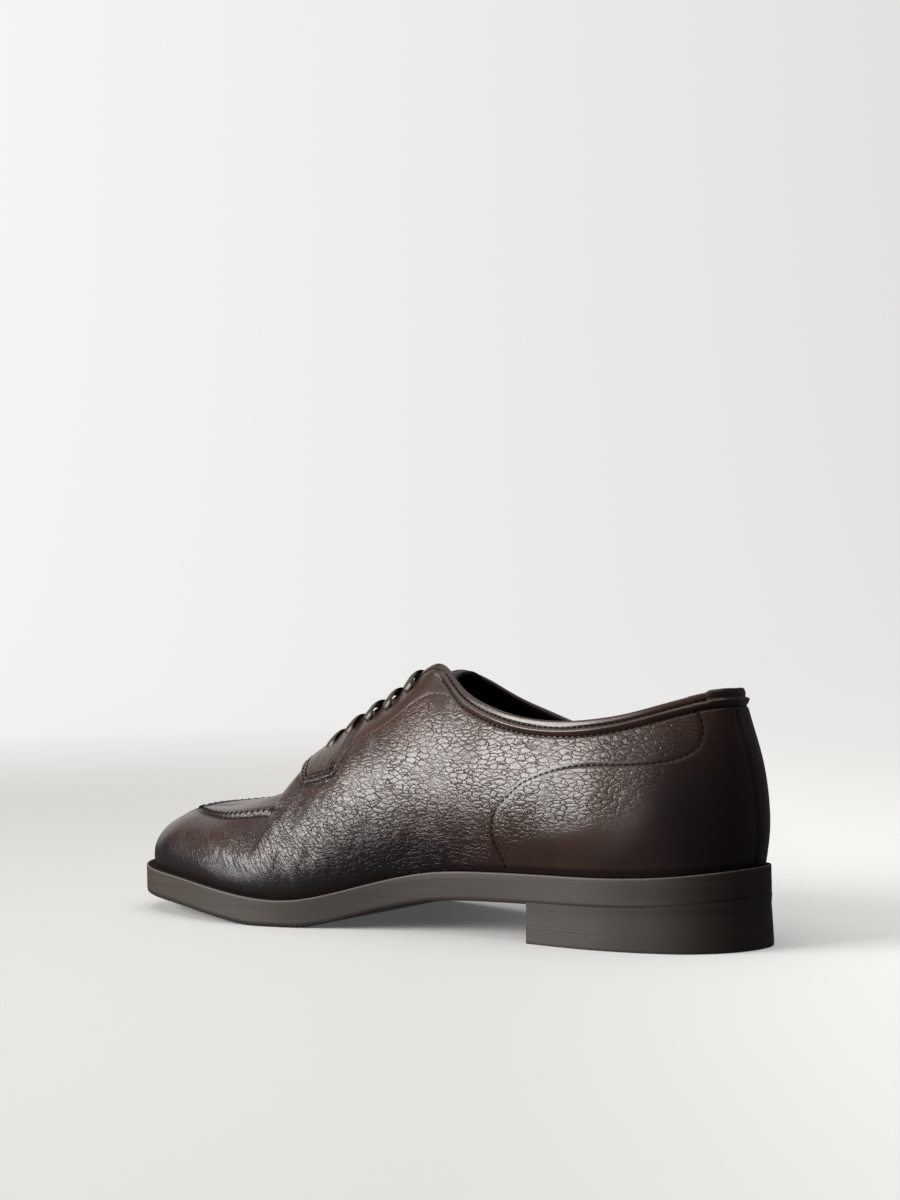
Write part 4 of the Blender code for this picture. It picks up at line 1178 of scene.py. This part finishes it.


# Ring piece from a profile of (inset, height function, painted highlight on the rim, darkness of the groove
# and painted shade);
# its ends are closed by strips across, and the levels named last carry the ribs
def ringPiece(name, profile, capped, material, nodes, ribbedAt=()):
    loops = []
    for inset, *_ in profile:
        medial, lateral = rimLoop(inset, sole["rows"])
        loops.append(np.concatenate([medial, lateral[-2:0:-1]]))
    grid = columnsOf(loops, profile)
    number = numbersOf(grid)
    x = grid[..., 0]
    edgeWay = wayAlong(grid[:, 0, :2])[:, None] * np.ones(len(profile))
    ribbed = np.array([1.0 if row[1] in ribbedAt else 0.0 for row in profile])
    values = {
        "rim": np.stack([alongRim(row[2], x[:, index]) for index, row in enumerate(profile)], 1),
        "grooveAndShade": np.stack([alongRim(row[3], x[:, index]) for index, row in enumerate(profile)], 1),
        "edgeWay": edgeWay, "ribbed": ribbed * softStep(x[:, :1] - sole["ribStart"], 0.02),
    }
    quads, points, triangles = [gridQuads(number, True)], [grid.reshape(-1, 3)], []
    for column, flip in ((0, 1), (-1, -1)) if capped else ():
        medial = number[:sole["rows"] + 1, column]
        lateral = np.concatenate([medial[:1], number[:sole["rows"]:-1, column], medial[-1:]])
        inside = pointsBetween(points[0][medial[1:-1]], points[0][lateral[1:-1]], sole["across"])
        inner = numbersOf(inside, sum(map(len, points)))
        full = np.concatenate([medial[1:-1, None], inner, lateral[1:-1, None]], 1)
        points.append(inside.reshape(-1, 3))
        quads.append(gridQuads(full)[:, ::flip])
        heelEnd = np.stack([np.full(full.shape[1] - 1, medial[0]), full[0, 1:], full[0, :-1]], -1)
        toeEnd = np.stack([np.full(full.shape[1] - 1, medial[-1]), full[-1, :-1], full[-1, 1:]], -1)
        triangles.extend(np.concatenate([heelEnd, toeEnd])[:, ::-flip].tolist())
    made = meshObject(name, np.concatenate(points), np.concatenate(quads), material, triangles)
    made.data.set_sharp_from_angle(angle=sole["sharpAngle"])
    caps = np.zeros(sum(map(len, points[1:])))
    for key, value in values.items():
        addValue(made, key, np.concatenate([value.ravel(), caps]))
    ridePiece(made, nodes)


# Height function at a depth under the welt's top
def fromTop(depth):
    return lambda x: weltTop(x) - depth


# Height function at an offset over the sole's underside, which is the welt's top less the stack,
# and flat on the floor under the ball
def fromBottom(offset):
    return lambda x: np.maximum(weltTop(x) - stack, 0.0) + offset


# Darkness of the sole's edge in the shade of the waist: a bell about its middle
def waistShade(x):
    return 0.20 * bell(x - 0.125, 0.04)


# Darkness of the joint line: the waist's painted shade, and a darker joint line under the heel, fading out
# ahead of it
def jointShade(x):
    return waistShade(x) + 0.12 * softStep(0.105 - x, 0.04)


# Welt: flat top seen round the upper, darkened by painted shade, with a painted highlight on its top corner
ringPiece("weltStrip", [
    (shoe["weltStrip"], fromTop(shoe["weltThick"]), 0, 0), (shoe["weltStrip"], fromTop(0.0), 0, 0),
    (0.0045, fromTop(0.0), 0, 1.0), (0.0022, fromTop(0.00005), 0, 1.0), (0.0008, fromTop(0.0), 0, 0.9),
    (0.0004, fromTop(0.00003), 0.5, 0), (0.00008, fromTop(0.0002), 0.6, 0), (0.0, fromTop(0.0005), 0.1, 0),
    (0.0, fromTop(0.0009), 0, 0), (0.0, fromTop(shoe["weltThick"]), 0, 0),
    (shoe["weltStrip"], fromTop(shoe["weltThick"]), 0, 0),
], False, rubberMaterial, ["welt"])

# Midsole and outsole as one even edge, with painted shade at the waist, a fine joint line and ribs low on the
# forepart
edgeTop = shoe["weltThick"] + 0.00002
joint = shoe["weltThick"] + shoe["play"] + shoe["midsoleThick"]
ribLevels = [fromBottom(0.0017), fromBottom(0.0004), fromBottom(0.0)]
ringPiece("midsoleOutsole", [
    (0.0001, fromTop(edgeTop), 0, 0), (0.0, fromTop(edgeTop), 0, waistShade),
    (0.0, fromTop(edgeTop + 0.0009), 0, waistShade), (0.0, fromTop(joint - 0.0003), 0, waistShade),
    (0.0, fromTop(joint), 0, jointShade), (0.0, fromTop(joint + 0.0003), 0, waistShade),
    (0.0, fromBottom(0.0022), 0, waistShade), (0.0, fromBottom(0.0019), 0, waistShade),
    (0.0, ribLevels[0], 0, waistShade), (0.00012, ribLevels[1], 0, waistShade), (0.0005, ribLevels[2], 0, 0),
    (0.002, fromBottom(0.0), 0, 0),
], True, rubberMaterial, ["midsole", "outsole"], ribLevels)
print("sole made")


# Heel: block and top piece in one, with a fine line at the joint, cut straight at the breast
def makeHeel():
    jointZ = shoe["topPieceThick"]
    flare = shoe["heelFlare"]

    # Height between the sole's underside and the joint, and an even height
    def blend(low):
        return lambda x: (weltTop(x) - stack + 0.0006) * (1 - low) + jointZ * low

    def level(z):
        return lambda x: np.full_like(x, z)

    profile = [
        (0.0012, blend(0.0), 0.0), (-0.00005, blend(0.0), 0.12), (-0.00008, blend(0.04), 0.0),
        (0.0002, blend(0.3), 0.0), (-0.0003, blend(0.97), 0.0), (-0.0003, level(jointZ), 0.16),
        (-0.0003, level(jointZ - 0.0003), 0.0), (-flare * 0.5, level(0.0012), 0.0),
        (-flare * 0.5, level(0.0006), 0.0), (-flare * 0.4, level(0.0001), 0.1), (0.0002, level(0.0), 0.0),
    ]
    loops = []
    for inset, *_ in profile:
        medial, lateral = rimLoop(inset, sole["heelRows"], shoe["heelLength"])
        loops.append(np.concatenate([medial[::-1], lateral[1:]]))
    grid = columnsOf(loops, profile)
    number = numbersOf(grid)
    breast = pointsBetween(grid[0], grid[-1], sole["breastAcross"])
    full = np.concatenate([number[0][:, None], numbersOf(breast, number.size), number[-1][:, None]], 1)
    quads = [gridQuads(number)[:, ::-1], gridQuads(full)]
    for column, flip in ((0, -1), (-1, 1)):
        pair = np.stack([number[sole["heelRows"]::-1, column], number[sole["heelRows"]:, column]], 1)
        quads.append(gridQuads(pair)[:, ::flip])
    points = np.concatenate([grid.reshape(-1, 3), breast.reshape(-1, 3)])
    made = meshObject("heel", points, np.concatenate(quads), rubberMaterial)
    grooves = np.array([row[2] for row in profile])
    grooveAndShade = np.concatenate([np.tile(grooves, len(grid)), np.repeat(grooves, breast.shape[1])])
    addValue(made, "grooveAndShade", grooveAndShade)
    addValue(made, "rim", np.zeros(len(grooveAndShade)))
    made.data.set_sharp_from_angle(angle=sole["sharpAngle"])
    ridePiece(made, ["heel_block", "top_piece"])


makeHeel()

# Insole: board with a softly raised edge
boardInset = shoe["weltMargin"] + shoe["wall"] + shoe["insolePlay"]
boardTop = shoe["insoleThick"] + shoe["play"]
ringPiece("insoleBoard", [
    (boardInset + 0.0015, fromTop(-boardTop), 0, 0), (boardInset + 0.0004, fromTop(0.0002 - boardTop), 0, 0),
    (boardInset, fromTop(0.0008 - boardTop), 0, 0), (boardInset, fromTop(-shoe["play"]), 0, 0),
    (boardInset + 0.002, fromTop(-shoe["play"]), 0, 0),
], True, insoleMaterial, ["insole"])

# Tongue rows: run of the section that it lies under, reach down each side, dip of its middle
tongueRows = [
    (0.740, 0.20, 0.015), (0.722, 0.22, 0.020), (0.700, 0.23, 0.050), (0.680, 0.24, 0.055),
    (0.650, 0.25, 0.030), (0.610, 0.25, 0.010), (0.570, 0.26, 0.000), (0.535, 0.27, 0.000),
    (0.505, 0.28, 0.000), (0.485, 0.28, 0.000), (0.468, 0.26, 0.000), (0.455, 0.22, 0.000),
    (0.446, 0.15, 0.000),
]


# Places on one side's sheet at depths below the free edge, with normals that point up
def belowEdgeAt(side, run, down):
    near = np.array([run - 0.004, run, run + 0.004])
    share = 1 - np.concatenate([down + 0.001, down]) / sheetLength(side, run)[0]
    points = upperSheet(side, near, share)[0]
    half = len(down)
    normal = unit(np.cross(points[2, half:] - points[0, half:], points[1, half:] - points[1, :half]))
    return points[1, half:], normal * np.sign(normal[:, 2])[:, None]


# Grid of the tongue at a depth under the sheet, with an arch between its two arms
def tongueSheet(depth):
    rows = []
    for run, reach, dip in tongueRows:
        down = np.array([1.0, 0.7, 0.4, 0.15]) * reach * shoe["instepRise"]
        depths = depth + np.array([0.2, 0.5, 0.8, 1.0]) * dip * shoe["instepRise"]
        arms = []
        for side in (1, -1):
            place, normal = belowEdgeAt(side, run, down)
            arms.append(place - normal * depths[:, None])
        medial, lateral = arms
        bridge = (medial[-1] - lateral[-1])[None, :] * np.array([[0.25], [0.0], [-0.25]])
        middle = (medial[-1] + lateral[-1]) / 2 + bridge
        half = abs(medial[-1, 1] - lateral[-1, 1]) / 2
        middle[:, 2] += half * shoe["tongueArch"] * np.array([0.75, 1.0, 0.75])
        rows.append(np.concatenate([medial, middle, lateral[::-1]]))
    return np.array(rows)


# The same grid with more rows and columns, on splines
def finer(grid, *counts):
    for count in counts:
        at = np.linspace(0, len(grid) - 1, count)
        curves = spline(at, np.arange(len(grid)), grid.reshape(len(grid), -1))
        grid = curves.reshape(count, grid.shape[1], 3).transpose(1, 0, 2)
    return grid


# Tongue: two sheets that close in to a round edge, with its top standing off the lining
tongue = {"rows": 90, "columns": 60, "stand": 0.0032, "roundCells": 3.0, "frontCells": 9}


# Both sheets drawn in to their middle near the border by a quarter circle, and joined there
def makeTongue():
    rows, columns = tongue["rows"], tongue["columns"]
    depth = shoe["wall"] + shoe["tonguePlay"]
    stand = tongue["stand"] * softStep(np.linspace(0, 1, rows) - 0.88, 0.24)[:, None, None] * upward
    top, bottom = [finer(tongueSheet(deep), rows, columns) + stand
                   for deep in (depth, depth + shoe["tongueThick"])]
    middle = (top + bottom) / 2
    sideCells = np.minimum(np.arange(columns), np.arange(columns)[::-1])[None, :]
    endCells = np.minimum(np.arange(rows) + tongue["frontCells"], np.arange(rows)[::-1])[:, None]
    away = np.clip(np.minimum(sideCells, endCells) / tongue["roundCells"], 0, 1)
    thick = np.sqrt(np.clip(1 - (1 - away) ** 2, 0.02, 1))[..., None]
    points = np.stack([middle + (sheet - middle) * thick for sheet in (top, bottom)])
    number = np.arange(2 * rows * columns).reshape(2, rows, columns)
    quads = [gridQuads(number[0]), gridQuads(number[1])[:, ::-1]]
    border = [number[:, :, 0], number[:, :, -1], number[:, 0, :], number[:, -1, :]]
    for edge, flip in zip(border, (1, -1, -1, 1)):
        quads.append(gridQuads(edge)[:, ::flip])
    made = meshObject("tongueFlap", points.reshape(-1, 3), np.concatenate(quads), liningMaterial)
    ridePiece(made, ["tongue"])


makeTongue()

# Lace: one cord through the eyelets, straight across between the facings and hidden under them
lace = {
    "firstRun": 0.636, "lastRun": 0.512, "bars": 5, "inset": 0.0075, "backInset": 0.0135, "deep": 0.0029,
    "lift": 0.0021, "arch": 0.0006, "sides": 14, "points": 1500,
}
# Width and thickness of the cord on the bar, in the eyelet's mouth, in its hole and on the hidden runs
laceSizes = {
    "bar": (0.0056, 0.0015), "mouth": (0.0034, 0.002), "hole": (0.003, 0.0014), "hidden": (0.0042, 0.0011),
}


# Both halves of a bar, each from under its eyelet, up through it and towards the middle
def laceBar(run):
    ends = []
    for side in (1, -1):
        place, normal = belowEdgeAt(side, run, np.array([1.0, 0.85, 0.6, 0.35, 0.1]) * lace["inset"])
        over = place + normal * (lace["lift"] * np.array([0.1, 0.75, 1.0, 1.0, 1.0]))[:, None]
        ends.append(np.concatenate([place[:1] - normal[:1] * lace["deep"], over]))
    return ends


# Run of the cord under the facing between two eyelets
def hiddenRun(side, first, second, inset):
    at = np.linspace(first, second, 7)[1:-1]
    place, normal = sheetPlaces(side, at, 1 - inset / np.interp(at, runs, lengths[side]))
    return place - normal * np.sign(normal[:, 2])[:, None] * lace["deep"]


# Lace: a flat ellipse carried along the spline of its path, its width kept in the slope of the throat
def makeLace():
    barRuns = np.linspace(lace["firstRun"], lace["lastRun"], lace["bars"])
    stretches = [(hiddenRun(1, barRuns[-1], barRuns[0], lace["backInset"]), "hidden")]
    side = 1
    for index, run in enumerate(barRuns):
        first, last = laceBar(run)[::side]
        middle = (first[-1:] + last[-1:]) / 2 + upward * lace["arch"]
        stretches += [(first[:1], "hole"), (first[1:2], "mouth"),
                      (np.concatenate([first[2:], middle, last[:1:-1]]), "bar"),
                      (last[1:2], "mouth"), (last[:1], "hole")]
        side = -side
        if index < lace["bars"] - 1:
            stretches.append((hiddenRun(side, run, barRuns[index + 1], lace["inset"]), "hidden"))
    points = np.concatenate([places for places, _ in stretches])
    sizes = np.concatenate([np.tile(laceSizes[kind], (len(places), 1)) for places, kind in stretches])
    way = wayAlong(points)
    keep = np.concatenate([[True], np.diff(way) > 1e-5])
    points, sizes, way = points[keep], sizes[keep], way[keep]
    at = np.linspace(0, way[-1], lace["points"])
    line = spline(at, way, points)
    size = np.stack([np.interp(at, way, sizes[:, column]) for column in range(2)], -1)
    tangent = unit(np.gradient(line, axis=0))
    slope = unit(np.array([-0.8, 0.0, 0.6]))
    wide = unit(slope - tangent * (tangent @ slope)[:, None])
    for _ in range(30):
        wide = unit(wide + np.roll(wide, 1, 0) + np.roll(wide, -1, 0))
        wide = unit(wide - tangent * (tangent * wide).sum(-1)[:, None])
    deep = np.cross(tangent, wide)
    turn = np.linspace(0, 2 * np.pi, lace["sides"], endpoint=False)
    ring = (wide[:, None] * (np.cos(turn)[None] * size[:, :1] / 2)[..., None]
            + deep[:, None] * (np.sin(turn)[None] * size[:, 1:] / 2)[..., None])
    grid = line[:, None] + ring
    number = numbersOf(grid)
    caps = [number[0, ::-1], number[-1]]
    quads = gridQuads(np.concatenate([number, number[:, :1]], 1))
    made = meshObject("lace", grid.reshape(-1, 3), quads, laceMaterial, caps)
    ridePiece(made, [f"lace_bar_{index + 1}" for index in range(lace["bars"])])
    return float(way[-1])


cordLength = makeLace()
print("lace made, cord length", round(cordLength, 4))

# Stage: a pale floor that curves up behind the shoe, soft lights and the photo's camera
stage = {
    "floor": (0.63, 0.63, 0.62, 1.0), "floorLeft": (0.49, 0.49, 0.485, 1.0), "glow": 0.84, "paintedLightSlant": 0.09,
    "nearGlow": 0.07, "rightGlow": 0.33, "sky": 0.08, "nearEnd": -3.0, "farEnd": 2.2, "radius": 1.5,
    "wallTop": 5.0, "halfWidth": 6.0, "fadeStart": 0.45, "fadeEnd": 1.5, "left": (0.809, 0.587, 0.0),
    "glowColour": (1.0, 0.995, 0.975, 1.0), "lampColour": (1.0, 0.985, 0.96),
    "skyColour": (1.0, 0.99, 0.97, 1.0),
}
# Lamps: name, place, what it looks at, size, power
lampRows = [
    ("keyLight", (1.02, 1.25, 0.55), (0.0, 0.0, 0.05), (1.15, 0.9), 53.0),
    ("topLight", (0.05, 0.1, 1.7), (0.0, 0.0, 0.0), (2.4, 2.4), 23.0),
    ("backLight", (0.85, -0.75, 0.45), (0.0, 0.0, 0.05), (1.3, 0.8), 2.0),
]
# Camera fitted to the photo: its own right, up and forward, place in metres, focal length in pixels
camera = {
    "right": np.array([-0.80917605, -0.5872016, -0.02069782]),
    "up": np.array([-0.01357311, -0.01653614, 0.99977114]),
    "ahead": np.array([0.58740947, -0.80927179, -0.00541049]),
    "place": np.array([-0.441614, 0.805604, 0.137452]), "focal": 2439.547, "pixels": 1200, "sensor": 36.0,
}


# Floor: lit by the lamps near the shoe, and glowing by itself farther off and to the sides; the far glow
# grows brighter to the left, a painted light falloff, the near glow grows to the right, painted light that
# lightens the shadow there, and the floor's colour is darker to the left
def makeFloor():
    turn = np.linspace(0, np.pi / 2, 25)
    far, radius = stage["farEnd"], stage["radius"]
    bend = np.stack([far + radius * np.sin(turn), radius - radius * np.cos(turn)], -1)
    profile = np.concatenate([[[stage["nearEnd"], 0]], bend, [[far + radius, stage["wallTop"]]]])
    sides = np.array([-1.0, 1.0])[None, :, None] * stage["halfWidth"]
    flat = camera["ahead"][:2] * profile[:, None, :1] + camera["right"][:2] * sides
    points = np.concatenate([flat, np.repeat(profile[:, None, 1:], 2, 1)], -1)
    material, tree, shader = newMaterial("backdrop")
    away = node(tree, "ShaderNodeVectorMath", operation="LENGTH")
    feed(tree, away.inputs[0], objectPlace(tree))
    leftward = node(tree, "ShaderNodeVectorMath", operation="DOT_PRODUCT")
    feed(tree, leftward.inputs[0], objectPlace(tree))
    leftward.inputs[1].default_value = stage["left"]
    leftward = leftward.outputs["Value"]
    far = ramp(tree, away.outputs["Value"], stage["fadeStart"], stage["fadeEnd"])
    near = maths(tree, "SUBTRACT", 1.0, far)
    toned = mixColour(tree, ramp(tree, leftward, -0.1, 0.45), stage["floor"], stage["floorLeft"])
    tree.links.new(mixColour(tree, near, (0.0, 0.0, 0.0, 1.0), toned), shader.inputs["Base Color"])
    # Painted light: the far glow grows brighter to the left
    paintedLightSlant = maths(tree, "MULTIPLY_ADD", leftward, stage["paintedLightSlant"], stage["glow"])
    # Painted light: near glow that grows to the right of the shoe and lightens its shadow there
    shade = ramp(tree, leftward, -0.22, 0.02, stage["rightGlow"], stage["nearGlow"])
    glow = maths(tree, "MULTIPLY_ADD", far, paintedLightSlant, product(tree, shade, near))
    tree.links.new(glow, shader.inputs["Emission Strength"])
    setInputs(shader, {"Roughness": 0.9, "Specular IOR Level": 0.0, "Emission Color": stage["glowColour"]})
    made = meshObject("floor", points.reshape(-1, 3) - origin, gridQuads(numbersOf(points)), material)
    made.visible_diffuse = False
    made.visible_glossy = False


# Object of a lamp or camera that looks against its back direction
def aimed(name, data, right, over, back, place):
    made = bpy.data.objects.new(name, data)
    bpy.context.collection.objects.link(made)
    matrix = np.eye(4)
    matrix[:3] = np.stack([right, over, back, place], -1)
    made.matrix_world = Matrix(matrix.tolist())
    return made


# Rectangular lamp that looks at a target
def areaLight(name, place, target, size, power):
    light = bpy.data.lights.new(name, "AREA")
    light.shape = "RECTANGLE"
    light.size, light.size_y = size
    light.energy = power
    light.color = stage["lampColour"]
    back = unit(np.array(place) - np.array(target))
    right = unit(np.cross(upward, back))
    aimed(name, light, right, np.cross(back, right), back, place)


# Camera with the fitted place and focal length
def makeCamera():
    lens = bpy.data.cameras.new("camera")
    lens.sensor_fit = "VERTICAL"
    lens.sensor_height = camera["sensor"]
    lens.sensor_width = camera["sensor"]
    lens.lens = camera["focal"] * camera["sensor"] / camera["pixels"]
    lens.clip_start = 0.05
    lens.clip_end = 50
    made = aimed("camera", lens, camera["right"], camera["up"], -camera["ahead"], camera["place"] + origin)
    bpy.context.scene.camera = made


makeFloor()
for row in lampRows:
    areaLight(*row)
makeCamera()
world = bpy.data.worlds.new("sky")
bpy.context.scene.world = world
world.use_nodes = True
setInputs(world.node_tree.nodes["Background"], {"Color": stage["skyColour"], "Strength": stage["sky"]})
bpy.context.scene.view_settings.view_transform = "Standard"

print("stage made")
